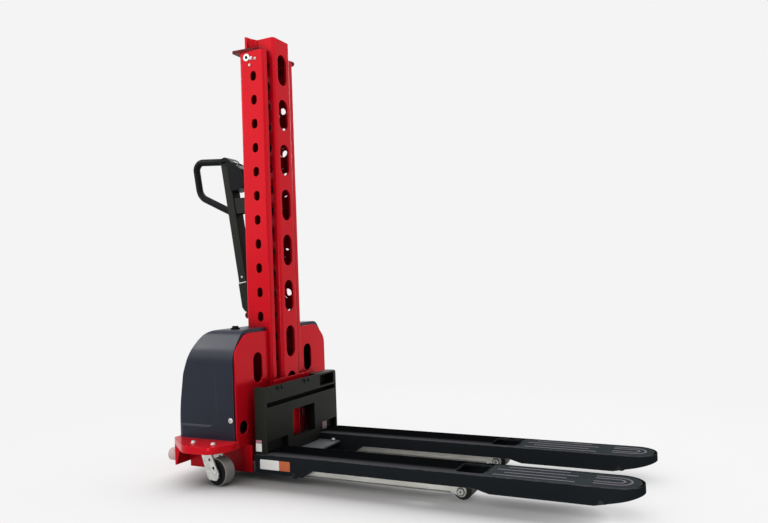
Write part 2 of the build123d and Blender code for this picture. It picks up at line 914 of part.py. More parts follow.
def carriage_frame():
    bar_bottom = carriage_top - bar_height
    inner = carriage_half - carriage_side
    panel_x = (carriage_front - panel_thickness, carriage_front)
    pocket_y = (inner - pocket_edge - pocket_width, inner - pocket_edge)
    frame = block((mount_front, carriage_front), (-inner, inner), (bar_bottom, carriage_top))
    # The bar is an open trough, apart from the pocket at its far end
    trough_y = (-inner, pocket_y[0] - pocket_wall)
    frame -= block((mount_front, panel_x[0]), trough_y, (bar_bottom + pocket_wall, carriage_top))
    frame += block(panel_x, (-inner, inner), (carriage_seat, panel_top))
    gap_half = fork_gap / 2
    frame -= block(panel_x, (-gap_half, gap_half), (carriage_seat, sill_top))
    frame += block((column_front, carriage_front), (-gap_half, gap_half), (sill_bottom, sill_top))
    window_low = sill_top + window_sill
    window_half = window_width / 2
    frame -= block(panel_x, (-window_half, window_half), (window_low, window_low + window_height))
    for side in sides.values():
        y = (side * inner, side * carriage_half)
        cheek = [(heel_back, carriage_seat), (carriage_front, carriage_seat), (carriage_front, carriage_top),
                 (heel_back, carriage_top)]
        frame += side_prism(cheek, y, [0, 0, carriage_side, carriage_side])
        # Stiffeners lean back from the sides of the window to the mast
        web_y = (side * window_half, side * (window_half + carriage_side))
        web = [(column_front + web_lean, sill_top), (panel_x[0], sill_top),
               (panel_x[0], fork_top + mount_rise), (column_front, fork_top + mount_rise)]
        frame += side_prism(web, web_y)
        # Above each fork the panel is set back under a shelf
        bay_y = (side * gap_half, side * inner)
        bay_x = (carriage_front - heel_bay_depth, carriage_front - heel_bay_depth + panel_thickness)
        bay_top = fork_top + heel_bay_height
        frame -= block(panel_x, bay_y, (carriage_seat, bay_top))
        frame += block(bay_x, bay_y, (carriage_seat, bay_top))
        frame += block((bay_x[0], carriage_front), bay_y, (bay_top, bay_top + panel_thickness))
        end_y = (side * (gap_half - carriage_side), side * gap_half)
        frame += block((bay_x[0], panel_x[0]), end_y, (sill_top, bay_top + panel_thickness))
    flange_x = (mount_front, mount_front + panel_thickness)
    frame += block(flange_x, (-inner, inner), (bar_bottom - bar_flange_depth, bar_bottom))
    pocket_z = (bar_bottom + pocket_wall, carriage_top - pocket_wall)
    return frame - block((mount_front + pocket_wall, carriage_front), pocket_y, pocket_z)


def carriage_bolts():
    x = (carriage_front, carriage_front + carriage_bolt_height)
    z = carriage_top - carriage_bolt_drop
    return [rod_x(carriage_bolt_radius, x, y, z) for y in carriage_bolt_ys]


def cross_plate():
    half = fork_gap / 2
    top = sill_bottom
    plate = block((cross_back, cross_front), (-half, half), (top - cross_thickness, top))
    for side in sides.values():
        x = cross_front - cross_bolt_inset
        y = side * (half - cross_bolt_inset)
        plate += rod_z(cross_bolt_radius, (top, top + cross_bolt_height), x, y)
    return plate


def caster_place(side):
    return Pos(caster_x, side * caster_half, 0) * Rot(0, 0, side * caster_turn)


def caster_plates():
    plates = []
    head_top = crown_bottom - air_gap
    for side in sides.values():
        plate_mid = -bolt_line_setback
        x = (plate_mid - caster_plate_length / 2, plate_mid + caster_plate_length / 2)
        y = (side * caster_half - caster_plate_width / 2, side * caster_half + caster_plate_width / 2)
        plate = block(x, y, (race_bottom + race_height, sheet_under))
        middle = (caster_x, side * caster_half)
        plate += rod_z(race_radius, (race_bottom, race_bottom + race_height), *middle)
        plate += rod_z(kingpin_radius, (head_top, race_bottom), *middle)
        plate += rod_z(kingpin_head_radius, (head_top - kingpin_head_height, head_top), *middle)
        plates.append(plate)
    return plates


def caster_fork(side):
    crown = rod_z(crown_radius, (crown_bottom, crown_top), 0, 0)
    reach = caster_trail + caster_leg_edge
    foot = caster_radius - caster_leg_drop
    shape = [(-crown_radius, crown_top), (crown_radius / 2, crown_top), (reach, caster_radius),
             (reach, foot + caster_leg_corner), (reach - caster_leg_corner, foot),
             (reach - caster_leg_width + caster_leg_corner, foot),
             (reach - caster_leg_width, foot + caster_leg_corner)]
    bracket = crown
    for end in sides.values():
        y = (end * caster_leg_in, end * (caster_leg_in + caster_leg))
        leg = side_prism(shape, y)
        leg -= rod_y(caster_axle_radius + seat_gap, y, caster_trail, caster_radius)
        for x, z in bracket_holes:
            leg -= rod_y(bracket_hole_radius, y, x, z)
        bracket += leg
    # The crown joins both legs with a plate as wide as they stand apart
    bridge_y = (-caster_leg_in, caster_leg_in)
    bracket += block((-bridge_half, bridge_half), bridge_y, (crown_bottom, crown_top))
    bracket -= rod_z(kingpin_radius + running_fit, (crown_bottom, crown_top), 0, 0)
    return caster_place(side) * bracket


def caster_axle(side):
    out = caster_leg_in + caster_leg
    axle = rod_y(caster_axle_radius, (-out, out), caster_trail, caster_radius)
    for end in sides.values():
        y = (end * out, end * (out + caster_bolt_height))
        axle += rod_y(caster_bolt_radius, y, caster_trail, caster_radius)
    return caster_place(side) * axle


def caster_wheel(side):
    width = caster_width - 2 * hub_inset
    hub = roller(hub_radius, width, caster_axle_radius + running_fit, wheel_edge)
    face = width / 2
    floor = face - dish_depth
    ring = [(dish_inner, floor), (dish_outer, floor), (dish_outer, face), (dish_inner, face)]
    dish = revolve(outline(ring), Axis.Y)
    hub -= dish
    hub -= mirror(dish, Plane.XZ)
    return caster_place(side) * Pos(caster_trail, 0, caster_radius) * hub


def caster_tyre(side):
    tyre = roller(caster_radius, caster_width, hub_radius + seat_gap, tyre_edge)
    return caster_place(side) * Pos(caster_trail, 0, caster_radius) * tyre


def tiller_bracket():
    base_x = (web_back - bracket_base, web_back)
    inner = tongue_width / 2 + ear_gap
    outer = inner + ear_thickness
    low = pivot_height - ear_radius
    high = pivot_height + ear_radius
    base = block(base_x, (-outer, outer), (low, low + bracket_height))
    for side in sides.values():
        y = (side * inner, side * outer)
        plate = block((pivot_x, base_x[0]), y, (low, high)) + rod_y(ear_radius, y, pivot_x, pivot_height)
        base += plate - rod_y(hinge_radius + seat_gap, y, pivot_x, pivot_height)
    return base


def tiller_pin():
    out = tongue_width / 2 + ear_gap + ear_thickness
    pin = rod_y(hinge_radius, (-out, out), pivot_x, pivot_height)
    for side in sides.values():
        y = (side * out, side * (out + hinge_head_height))
        pin += rod_y(hinge_head_radius, y, pivot_x, pivot_height)
    return pin


def tiller_arm():
    half_depth = arm_depth / 2
    half_width = arm_width / 2
    z = (arm_start, arm_end)
    tube = block((-half_depth, half_depth), (-half_width, half_width), z)
    core = (half_depth - arm_wall, half_width - arm_wall)
    tube -= block((-core[0], core[0]), (-core[1], core[1]), z)
    return tiller_place * tube


def tiller_sleeve():
    half_depth = sleeve_depth / 2
    half_width = sleeve_width / 2
    y = (-half_width, half_width)
    heel = (sleeve_taper[0] - half_depth, sleeve_bottom + sleeve_taper[1])
    side_form = [(-half_depth, sleeve_top), (half_depth, sleeve_top), (half_depth, sleeve_bottom),
                 (heel[0], sleeve_bottom), (-half_depth, heel[1])]
    sleeve = side_prism(side_form, y)
    tongue_y = (-tongue_width / 2, tongue_width / 2)
    sleeve += block((-tongue_depth / 2, tongue_depth / 2), tongue_y, (0, sleeve_bottom))
    sleeve += rod_y(tongue_depth / 2, tongue_y, 0, 0)
    core = (arm_depth / 2, arm_width / 2)
    sleeve -= block((-core[0], core[0]), (-core[1], core[1]), (arm_start, sleeve_top))
    sleeve -= rod_y(hinge_radius + running_fit, tongue_y, 0, 0)
    return tiller_place * sleeve


def tiller_loop():
    points = [(0, 0, loop_high_start), (-loop_reach, 0, loop_high), (-loop_reach, 0, loop_low),
              (0, 0, loop_low_start)]
    path = FilletPolyline(*points, radius=[loop_high_bend, loop_low_bend])
    bar = sweep(Plane(path @ 0, z_dir=path % 0) * Circle(loop_radius), path=path)
    cut = (-arm_depth / 2, arm_depth)
    wide = (-arm_width, arm_width)
    return tiller_place * (bar - block(cut, wide, (loop_low_start - arm_width, loop_high + arm_width)))


def button_place(side):
    # Buttons stand square on the sloping top face of the head
    top = Vector(head_crest, 0, head_top)
    end = Vector(head_front, 0, head_front_top)
    along = (end - top).normalized()
    normal = Vector(-along.Z, 0, along.X)
    spot = top + (end - top) * button_along + Vector(0, side * button_half, 0)
    return Plane(spot, x_dir=(0, 1, 0), z_dir=normal)


def control_head():
    half_depth = arm_depth / 2
    profile = [(half_depth, head_bottom), (head_front - head_chin, head_bottom),
               (head_front, head_bottom + head_chin), (head_front, head_front_top), (head_crest, head_top),
               (-half_depth, head_top - head_fall), (-half_depth, arm_end), (half_depth, arm_end)]
    rounds = [0, head_round / 2, head_round / 2, head_round, head_round, head_fall, 0, 0]
    body = side_prism(profile, (-head_width / 2, head_width / 2), rounds)
    for side in sides.values():
        pocket = Pos(0, 0, -button_pocket / 2) * Cylinder(button_radius + air_gap, button_pocket)
        body -= button_place(side).location * pocket
    return tiller_place * body


def push_button(side):
    height = button_rise + button_depth
    cap = Pos(0, 0, button_rise - height / 2) * Cylinder(button_radius, height)
    cap = chamfer(cap.edges().filter_by(GeomType.CIRCLE).sort_by(Axis.Z)[-1], button_edge)
    return tiller_place * (button_place(side).location * cap)


def tiller_stop():
    # A bracket on the mast that the arm leans against when it stands upright
    half = stop_width / 2
    inner = half - stop_base
    stop_top = stop_bottom + stop_height
    room = (arm_depth / 2 + air_gap, arm_depth / 2 + pivot_setback)
    face = tiller_place * block(room, (-half, half), (0, arm_end))
    bar = block((pivot_x - pivot_setback, web_back), (-half, half), (stop_bottom, stop_top)) & face
    hollow_x = (pivot_x - pivot_setback, web_back - stop_base)
    bar -= block(hollow_x, (-inner, inner), (stop_bottom, stop_top - stop_base))
    base_x = (web_back - stop_base, web_back)
    return bar + block(base_x, (-half, half), (stop_bottom - stop_flange, stop_top + stop_flange))


parts = {
    "inner_mast": inner_mast(),
    "outer_mast": outer_mast(),
    "mast_cap_plate": mast_cap_plate(),
    "top_guide_pins": top_guide_pins(),
    "low_guide_pins": low_guide_pins(),
    "lift_cylinder": lift_cylinder(),
    "cylinder_rod": cylinder_rod(),
    "limit_switch": limit_switch(),
    "base_platform": base_platform(),
    "platform_bolts": platform_bolts(),
    "base_frame": base_frame(),
    "rear_buffers": rear_buffers(),
    "front_plate": front_plate(),
    "hood": hood(),
    "key_switch": key_switch(),
    "switch_knob": switch_knob(),
    "battery": battery(),
    "power_unit": power_unit(),
    "load_roller_axles": load_roller_axles(),
    "fork_roller_axles": fork_roller_axles(),
    "mount_plate": mount_plate(),
    "carriage_frame": carriage_frame(),
    "carriage_bolts": carriage_bolts(),
    "cross_plate": cross_plate(),
    "caster_plates": caster_plates(),
    "tiller_bracket": tiller_bracket(),
    "tiller_pin": tiller_pin(),
    "tiller_arm": tiller_arm(),
    "tiller_sleeve": tiller_sleeve(),
    "tiller_loop": tiller_loop(),
    "control_head": control_head(),
    "raise_button": push_button(-1),
    "lower_button": push_button(1),
    "tiller_stop": tiller_stop(),
}
paired = (support_leg, fork, tip_plate, load_roller, heel_roller, tip_roller, top_guide_roller,
          low_guide_roller, caster_fork, caster_axle, caster_wheel, caster_tyre)
for maker in paired:
    for name, side in sides.items():
        parts[f"{maker.__name__}_{name}"] = maker(side)

# The origin goes under the middle of the whole machine
shapes = {}
for node, made in parts.items():
    shapes[node] = Compound(children=list(made)) if isinstance(made, list) else made
whole = Compound(children=[Compound(shape.wrapped) for shape in shapes.values()]).bounding_box()
home = Pos(-(whole.min.X + whole.max.X) / 2, 0, 0)

os.makedirs("parts", exist_ok=True)
for node, shape in shapes.items():
    export_step(home * shape, f"parts/{node}.step")
print(len(shapes), "nodes", whole)
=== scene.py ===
import json
import math
import bmesh
import bpy
from mathutils import Matrix, Vector


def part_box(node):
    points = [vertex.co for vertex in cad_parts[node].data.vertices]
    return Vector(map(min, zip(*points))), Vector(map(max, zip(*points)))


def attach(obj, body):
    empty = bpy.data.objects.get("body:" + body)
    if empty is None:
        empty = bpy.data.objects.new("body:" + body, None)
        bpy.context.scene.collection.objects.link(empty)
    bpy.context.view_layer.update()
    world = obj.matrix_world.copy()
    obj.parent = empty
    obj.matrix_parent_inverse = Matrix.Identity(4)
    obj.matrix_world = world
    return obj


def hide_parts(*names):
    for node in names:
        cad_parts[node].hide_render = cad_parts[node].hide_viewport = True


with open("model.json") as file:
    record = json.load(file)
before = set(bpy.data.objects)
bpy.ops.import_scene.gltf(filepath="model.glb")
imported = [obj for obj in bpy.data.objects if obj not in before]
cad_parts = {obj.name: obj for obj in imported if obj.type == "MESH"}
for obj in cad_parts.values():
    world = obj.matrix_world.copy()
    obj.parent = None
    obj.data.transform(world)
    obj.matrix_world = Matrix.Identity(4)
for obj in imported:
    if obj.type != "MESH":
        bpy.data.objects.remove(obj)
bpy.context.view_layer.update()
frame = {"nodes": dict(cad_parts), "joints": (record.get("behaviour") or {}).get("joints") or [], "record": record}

# Lengths in the dictionaries are in millimetres, and angles in degrees
nodes = frame["nodes"]
mm = 0.001
startBehind = 5  # x is counted from a plane this far behind the inner mast's front face
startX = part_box("inner_mast")[1].x - startBehind * mm
print("frame loaded:", len(nodes), "nodes")


def place(x, y, z):
    # A place is counted from that plane, the machine's middle and the floor
    return Vector((x * mm + startX, y * mm, z * mm))


def linear(hexColour):
    # An sRGB hex value as linear light
    parts = [int(hexColour[i:i + 2], 16) / 255 for i in (1, 3, 5)]
    return tuple(c / 12.92 if c <= 0.04045 else ((c + 0.055) / 1.055) ** 2.4 for c in parts) + (1.0,)


def addNode(tree, kind, links=None, **settings):
    made = tree.nodes.new("ShaderNode" + kind)
    for name, value in settings.items():
        setattr(made, name, value)
    for socket, value in (links or {}).items():
        if isinstance(value, bpy.types.NodeSocket):
            tree.links.new(value, made.inputs[socket])
        else:
            made.inputs[socket].default_value = value
    return made


def perMillimetre(size):
    # The scale that draws a pattern at this size
    return 1 / (size * mm)


def newMaterial(name):
    made = bpy.data.materials.new(name)
    made.use_nodes = True
    made.node_tree.nodes.clear()
    return made, made.node_tree


noiseLow = 0.3  # most of a noise's values lie between these two
noiseHigh = 0.7

# How far the two normals agree on a flat and on a sharp edge, and the noise over which the pale edge, both wear
# and painted highlight, breaks up
edgeWearAndSheen = {"flat": 0.985, "sharp": 0.85, "chipFrom": 0.35, "chipTo": 0.65, "samples": 4}


def wornAndSheenEdges(tree, where, look):
    # Outside edges turn paler, partly worn finish and partly painted highlight: where a rounded normal leaves the
    # true one, broken up by noise
    flat = addNode(tree, "NewGeometry")
    eased = addNode(tree, "Bevel", {"Radius": look["wearAndSheenWidth"] * mm}, samples=edgeWearAndSheen["samples"])
    same = addNode(tree, "VectorMath", {0: eased.outputs["Normal"], 1: flat.outputs["Normal"]},
                   operation="DOT_PRODUCT")
    edge = addNode(tree, "MapRange", {"Value": same.outputs["Value"], "From Min": edgeWearAndSheen["flat"],
                                      "From Max": edgeWearAndSheen["sharp"]})
    chips = addNode(tree, "TexNoise", {"Vector": where, "Scale": perMillimetre(look["wearAndSheenSize"]),
                                       "Detail": 3.0})
    patchy = addNode(tree, "MapRange", {"Value": chips.outputs["Fac"], "From Min": edgeWearAndSheen["chipFrom"],
                                        "From Max": edgeWearAndSheen["chipTo"], "To Max": look["wearAndSheenShare"]})
    return addNode(tree, "Math", {0: edge.outputs["Result"], 1: patchy.outputs["Result"]},
                   operation="MULTIPLY")


# What the enamels share, unless a look says otherwise
enamelBasics = {
    "ior": 1.5, "metallic": 0.0, "peel": 4, "peelStrength": 0.3, "peelDepth": 0.12, "rubSpread": 0.16,
    "paintedShadeFrom": 0.6, "paintedShadeTo": 0.2, "paintedShadeSamples": 4, "upperFrom": 0.8, "upperTo": 0.95,
    "bandFull": 16, "bandGone": 46, "crestLow": 0.2, "crestHigh": 0.7, "crestShare": 0.8}


def sprayedEnamel(ownLook):
    # Stoved enamel on sheet steel: even colour, fine orange peel, soft cloudy gloss, rubbed streaks, edges paler
    # from wear and painted highlight, and painted shade where the form closes in
    look = {**enamelBasics, **ownLook}
    made, tree = newMaterial(look["name"])
    spot = addNode(tree, "TexCoord")
    where = spot.outputs["Object"]
    cloud = addNode(tree, "TexNoise", {"Vector": where, "Scale": perMillimetre(look["cloud"]), "Detail": 3.0})
    tint = addNode(tree, "MixRGB", {"Fac": cloud.outputs["Fac"], "Color1": linear(look["deep"]),
                                    "Color2": linear(look["light"])})
    if "shadedUpperFace" in look:  # a darker upper face as painted shade, with a pale band along one edge that is painted highlight and scuffing
        facing = addNode(tree, "SeparateXYZ", {"Vector": spot.outputs["Normal"]})
        upper = addNode(tree, "MapRange", {"Value": facing.outputs["Z"], "From Min": look["upperFrom"],
                                           "From Max": look["upperTo"]})
        across = addNode(tree, "SeparateXYZ", {"Vector": where})
        sheenAndScuffBand = addNode(tree, "MapRange", {"Value": across.outputs["Y"],
                                          "From Min": look["bandFrom"] + look["bandGone"] * mm,
                                          "From Max": look["bandFrom"] + look["bandFull"] * mm})
        shadedTopAndBand = addNode(tree, "MixRGB", {"Fac": sheenAndScuffBand.outputs["Result"], "Color1": linear(look["shadedUpperFace"]),
                                           "Color2": linear(look["sheenAndScuffBand"])})
        tint = addNode(tree, "MixRGB", {"Fac": upper.outputs["Result"], "Color1": tint.outputs["Color"],
                                        "Color2": shadedTopAndBand.outputs["Color"]})
    along = addNode(tree, "Mapping", {"Vector": where, "Scale": look["rubAlong"]})
    rub = addNode(tree, "TexNoise", {"Vector": along.outputs["Vector"],
                                     "Scale": perMillimetre(look["rubSize"]), "Detail": 4.0,
                                     "Roughness": 0.6})
    rubMask = addNode(tree, "MapRange", {"Value": rub.outputs["Fac"], "From Min": look["rubFrom"],
                                         "From Max": look["rubFrom"] + look["rubSpread"],
                                         "To Max": look["rubShare"]})
    streaked = addNode(tree, "MixRGB", {"Fac": rubMask.outputs["Result"], "Color1": tint.outputs["Color"],
                                        "Color2": linear(look["rubbed"])})
    # outside edges turn paler: wear and painted highlight
    edges = wornAndSheenEdges(tree, where, look)
    colour = addNode(tree, "MixRGB", {"Fac": edges.outputs["Value"], "Color1": streaked.outputs["Color"],
                                      "Color2": linear(look["wornAndSheen"])})
    if "crest" in look:  # the tops of ribs are paler
        height = addNode(tree, "SeparateXYZ", {"Vector": where})
        crest = addNode(tree, "MapRange", {"Value": height.outputs["Z"],
                                           "From Min": look["crestFrom"] + look["crestLow"] * mm,
                                           "From Max": look["crestFrom"] + look["crestHigh"] * mm,
                                           "To Max": look["crestShare"]})
        colour = addNode(tree, "MixRGB", {"Fac": crest.outputs["Result"], "Color1": colour.outputs["Color"],
                                          "Color2": linear(look["crest"])})
    # painted shade: the colour darkens where ambient occlusion finds the form closed in
    closed = addNode(tree, "AmbientOcclusion", {"Distance": look["paintedShadeReach"] * mm},
                     samples=look["paintedShadeSamples"])
    paintedShade = addNode(tree, "MapRange", {"Value": closed.outputs["AO"], "From Min": look["paintedShadeFrom"],
                                       "From Max": look["paintedShadeTo"], "To Max": look["paintedShadeShare"]})
    colour = addNode(tree, "MixRGB", {"Fac": paintedShade.outputs["Result"], "Color1": colour.outputs["Color"],
                                      "Color2": linear(look["paintedShade"])})
    gloss = addNode(tree, "MapRange", {"Value": cloud.outputs["Fac"], "From Min": noiseLow,
                                       "From Max": noiseHigh, "To Min": look["roughness"][0],
                                       "To Max": look["roughness"][1]})
    dull = addNode(tree, "Math", {0: gloss.outputs["Result"], 1: rubMask.outputs["Result"]}, operation="ADD",
                   use_clamp=True)
    peel = addNode(tree, "TexNoise", {"Vector": where, "Scale": perMillimetre(look["peel"]), "Detail": 2.0})
    relief = addNode(tree, "Bump", {"Height": peel.outputs["Fac"], "Strength": look["peelStrength"],
                                    "Distance": look["peelDepth"] * mm})
    shader = addNode(tree, "BsdfPrincipled", {
        "Base Color": colour.outputs["Color"], "Roughness": dull.outputs["Value"], "IOR": look["ior"],
        "Metallic": look["metallic"], "Specular IOR Level": look["specular"],
        "Normal": relief.outputs["Normal"]})
    addNode(tree, "OutputMaterial", {"Surface": shader.outputs["BSDF"]})
    return made


def mouldedPlastic(look):
    # Moulded plastic, rubber or film: one colour through with faint clouds, pebbled by the tool's grain, and
    # paler on edges, as wear and painted highlight, where the look has them
    made, tree = newMaterial(look["name"])
    where = addNode(tree, "TexCoord").outputs["Object"]
    cloud = addNode(tree, "TexNoise", {"Vector": where, "Scale": perMillimetre(look["cloud"]), "Detail": 4.0})
    tint = addNode(tree, "MixRGB", {"Fac": cloud.outputs["Fac"], "Color1": linear(look["deep"]),
                                    "Color2": linear(look["light"])})
    # paler edges: wear and painted highlight
    if "wornAndSheen" in look:
        edges = wornAndSheenEdges(tree, where, look)
        tint = addNode(tree, "MixRGB", {"Fac": edges.outputs["Value"], "Color1": tint.outputs["Color"],
                                        "Color2": linear(look["wornAndSheen"])})
    grain = addNode(tree, "TexVoronoi", {"Vector": where, "Scale": perMillimetre(look["grain"])},
                    feature="SMOOTH_F1")
    relief = addNode(tree, "Bump", {"Height": grain.outputs["Distance"], "Strength": look["grainStrength"],
                                    "Distance": look["grainDepth"] * mm})
    gloss = addNode(tree, "MapRange", {"Value": cloud.outputs["Fac"], "From Min": noiseLow,
                                       "From Max": noiseHigh, "To Min": look["roughness"][0],
                                       "To Max": look["roughness"][1]})
    shader = addNode(tree, "BsdfPrincipled", {
        "Base Color": tint.outputs["Color"], "Roughness": gloss.outputs["Result"], "IOR": look["ior"],
        "Specular IOR Level": look["specular"], "Normal": relief.outputs["Normal"]})
    addNode(tree, "OutputMaterial", {"Surface": shader.outputs["BSDF"]})
    return made


platingDeep = 0.12  # streak times cloud runs between these two
platingLight = 0.4


def workedSteel(look):
    # Bare or plated steel: streaks along the working direction break the gloss, and the surface clouds
    made, tree = newMaterial(look["name"])
    where = addNode(tree, "TexCoord").outputs["Object"]
    along = addNode(tree, "Mapping", {"Vector": where, "Scale": look["along"]})
    streak = addNode(tree, "TexNoise", {"Vector": along.outputs["Vector"],
                                        "Scale": perMillimetre(look["streak"]), "Detail": 5.0,
                                        "Roughness": 0.65})
    cloud = addNode(tree, "TexNoise", {"Vector": where, "Scale": perMillimetre(look["cloud"]), "Detail": 3.0})
    blend = addNode(tree, "Math", {0: streak.outputs["Fac"], 1: cloud.outputs["Fac"]}, operation="MULTIPLY")
    spread = addNode(tree, "MapRange", {"Value": blend.outputs["Value"], "From Min": platingDeep,
                                        "From Max": platingLight})
    tint = addNode(tree, "MixRGB", {"Fac": spread.outputs["Result"], "Color1": linear(look["deep"]),
                                    "Color2": linear(look["light"])})
    gloss = addNode(tree, "MapRange", {"Value": streak.outputs["Fac"], "From Min": noiseLow,
                                       "From Max": noiseHigh, "To Min": look["roughness"][0],
                                       "To Max": look["roughness"][1]})
    relief = addNode(tree, "Bump", {"Height": streak.outputs["Fac"], "Strength": look["streakStrength"],
                                    "Distance": look["streakDepth"] * mm})
    shader = addNode(tree, "BsdfPrincipled", {
        "Base Color": tint.outputs["Color"], "Metallic": look["metallic"],
        "Roughness": gloss.outputs["Result"], "Normal": relief.outputs["Normal"]})
    addNode(tree, "OutputMaterial", {"Surface": shader.outputs["BSDF"]})
    return made


# Enamels; the forks' two differ only in where the pale band, painted highlight and scuffing, starts
# the red's pale edges stand for wear and for painted highlight on rounded folds
redEnamel = sprayedEnamel({
    "name": "redStovedEnamel", "deep": "#B30A18", "light": "#C60E1E", "rubbed": "#CE3640", "cloud": 240,
    "rubAlong": (1, 1, 0.12), "rubSize": 26, "rubFrom": 0.66, "rubShare": 0.12, "roughness": (0.2, 0.26),
    "peelStrength": 0.12, "peelDepth": 0.1, "specular": 0.08, "metallic": 0.12,
    "paintedShade": "#1E0205", "paintedShadeReach": 110, "paintedShadeShare": 0.68,
    "wornAndSheen": "#D8666C", "wearAndSheenWidth": 2.2, "wearAndSheenSize": 30, "wearAndSheenShare": 0.4})
# a darker copy of the red enamel, painted shade for the cap plate and the limit switch
shadedRedEnamel = sprayedEnamel({
    "name": "shadedRedStovedEnamel", "deep": "#560A0E", "light": "#640C12", "rubbed": "#9A2A30", "cloud": 120,
    "rubAlong": (1, 1, 0.3), "rubSize": 20, "rubFrom": 0.66, "rubShare": 0.12, "roughness": (0.4, 0.48),
    "peelStrength": 0.25, "specular": 0.1,
    "paintedShade": "#1E0205", "paintedShadeReach": 80, "paintedShadeShare": 0.6,
    "wornAndSheen": "#C98A8A", "wearAndSheenWidth": 1.6, "wearAndSheenSize": 22, "wearAndSheenShare": 0.3})
# its wide painted shade darkens it towards the forks and into its hollows
carriageEnamel = sprayedEnamel({
    "name": "greenBlackSatinEnamel", "deep": "#1C1E1A", "light": "#252722", "rubbed": "#3C3E37", "cloud": 160,
    "rubAlong": (0.3, 0.3, 1), "rubSize": 18, "rubFrom": 0.62, "rubShare": 0.2, "roughness": (0.46, 0.56),
    "specular": 0.1, "paintedShade": "#060706", "paintedShadeReach": 260, "paintedShadeFrom": 0.9, "paintedShadeShare": 1.0,
    "wornAndSheen": "#74766E", "wearAndSheenWidth": 1.6, "wearAndSheenSize": 24, "wearAndSheenShare": 0.4})
# the forks' upper faces are darkened as painted shade, with a pale band of painted highlight and scuffing
forkLook = {
    "deep": "#1B1E20", "light": "#212427", "rubbed": "#2E3135", "cloud": 140,
    "rubAlong": (0.05, 1, 1), "rubSize": 7, "rubFrom": 0.64, "rubShare": 0.2, "roughness": (0.56, 0.66),
    "specular": 0.0, "paintedShade": "#050607", "paintedShadeReach": 60, "paintedShadeShare": 0.5,
    "shadedUpperFace": "#090A0B", "sheenAndScuffBand": "#3C3C3F",
    "wornAndSheen": "#8A8C8C", "wearAndSheenWidth": 3.4, "wearAndSheenSize": 26, "wearAndSheenShare": 0.4}
forkEnamel = {}
for hand in ("left", "right"):
    forkEnamel[hand] = sprayedEnamel({**forkLook, "name": f"blueBlackForkEnamel.{hand}",
                                      "bandFrom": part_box(f"fork_{hand}")[0].y})
treadEnamel = sprayedEnamel({
    "name": "darkGreyTreadEnamel", "deep": "#2A2F31", "light": "#363B3D", "rubbed": "#4A4D51", "cloud": 60,
    "rubAlong": (0.12, 1, 1), "rubSize": 6, "rubFrom": 0.56, "rubShare": 0.3, "roughness": (0.5, 0.6),
    "peel": 2.5, "peelStrength": 0.4, "peelDepth": 0.2, "specular": 0.0,
    "paintedShade": "#0A0B0C", "paintedShadeReach": 30, "paintedShadeShare": 0.5,
    "wornAndSheen": "#8F8D90", "wearAndSheenWidth": 1.2, "wearAndSheenSize": 18, "wearAndSheenShare": 0.4,
    "crest": "#78747C", "crestFrom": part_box("fork_left")[1].z})
greyEnamel = sprayedEnamel({
    "name": "greyMachineEnamel", "deep": "#4A4D4F", "light": "#595C5E", "rubbed": "#7A7C7C", "cloud": 120,
    "rubAlong": (1, 1, 0.3), "rubSize": 14, "rubFrom": 0.64, "rubShare": 0.25, "roughness": (0.44, 0.54),
    "specular": 0.2, "paintedShade": "#0A0B0B", "paintedShadeReach": 60, "paintedShadeShare": 0.6,
    "wornAndSheen": "#A9AAA8", "wearAndSheenWidth": 1.6, "wearAndSheenSize": 22, "wearAndSheenShare": 0.5})
cylinderEnamel = sprayedEnamel({
    "name": "blackCylinderEnamel", "deep": "#17181A", "light": "#202124", "rubbed": "#3A3B3E", "cloud": 120,
    "rubAlong": (1, 1, 0.2), "rubSize": 14, "rubFrom": 0.64, "rubShare": 0.2, "roughness": (0.38, 0.48),
    "specular": 0.3, "paintedShade": "#060707", "paintedShadeReach": 60, "paintedShadeShare": 0.5,
    "wornAndSheen": "#6A6B6B", "wearAndSheenWidth": 1.6, "wearAndSheenSize": 22, "wearAndSheenShare": 0.3})

# Plastics, rubbers and films; grain is drawn a little coarser than life so that it shows
# the hood's pale edge and groove lines are painted highlight as well as wear
hoodPlastic = mouldedPlastic({
    "name": "slateMouldedAbs", "deep": "#0A1020", "light": "#101828", "cloud": 90, "grain": 2.2,
    "grainStrength": 0.2, "grainDepth": 0.25, "roughness": (0.34, 0.4), "ior": 1.53, "specular": 0.24,
    "wornAndSheen": "#49505C", "wearAndSheenWidth": 4, "wearAndSheenSize": 60, "wearAndSheenShare": 0.7})
gripPlastic = mouldedPlastic({
    "name": "blackMouldedNylon", "deep": "#0A0B0D", "light": "#101114", "cloud": 60, "grain": 1.8,
    "grainStrength": 0.25, "grainDepth": 0.2, "roughness": (0.4, 0.5), "ior": 1.53, "specular": 0.06})
wheelPlastic = mouldedPlastic({
    "name": "blackWheelNylon", "deep": "#0A0B0C", "light": "#101112", "cloud": 30, "grain": 1.6,
    "grainStrength": 0.2, "grainDepth": 0.2, "roughness": (0.46, 0.56), "ior": 1.53, "specular": 0.08})
treadRubber = mouldedPlastic({
    "name": "greyTreadRubber", "deep": "#6A6865", "light": "#7C7A77", "cloud": 22, "grain": 1.4,
    "grainStrength": 0.35, "grainDepth": 0.3, "roughness": (0.62, 0.76), "ior": 1.52, "specular": 0.3})
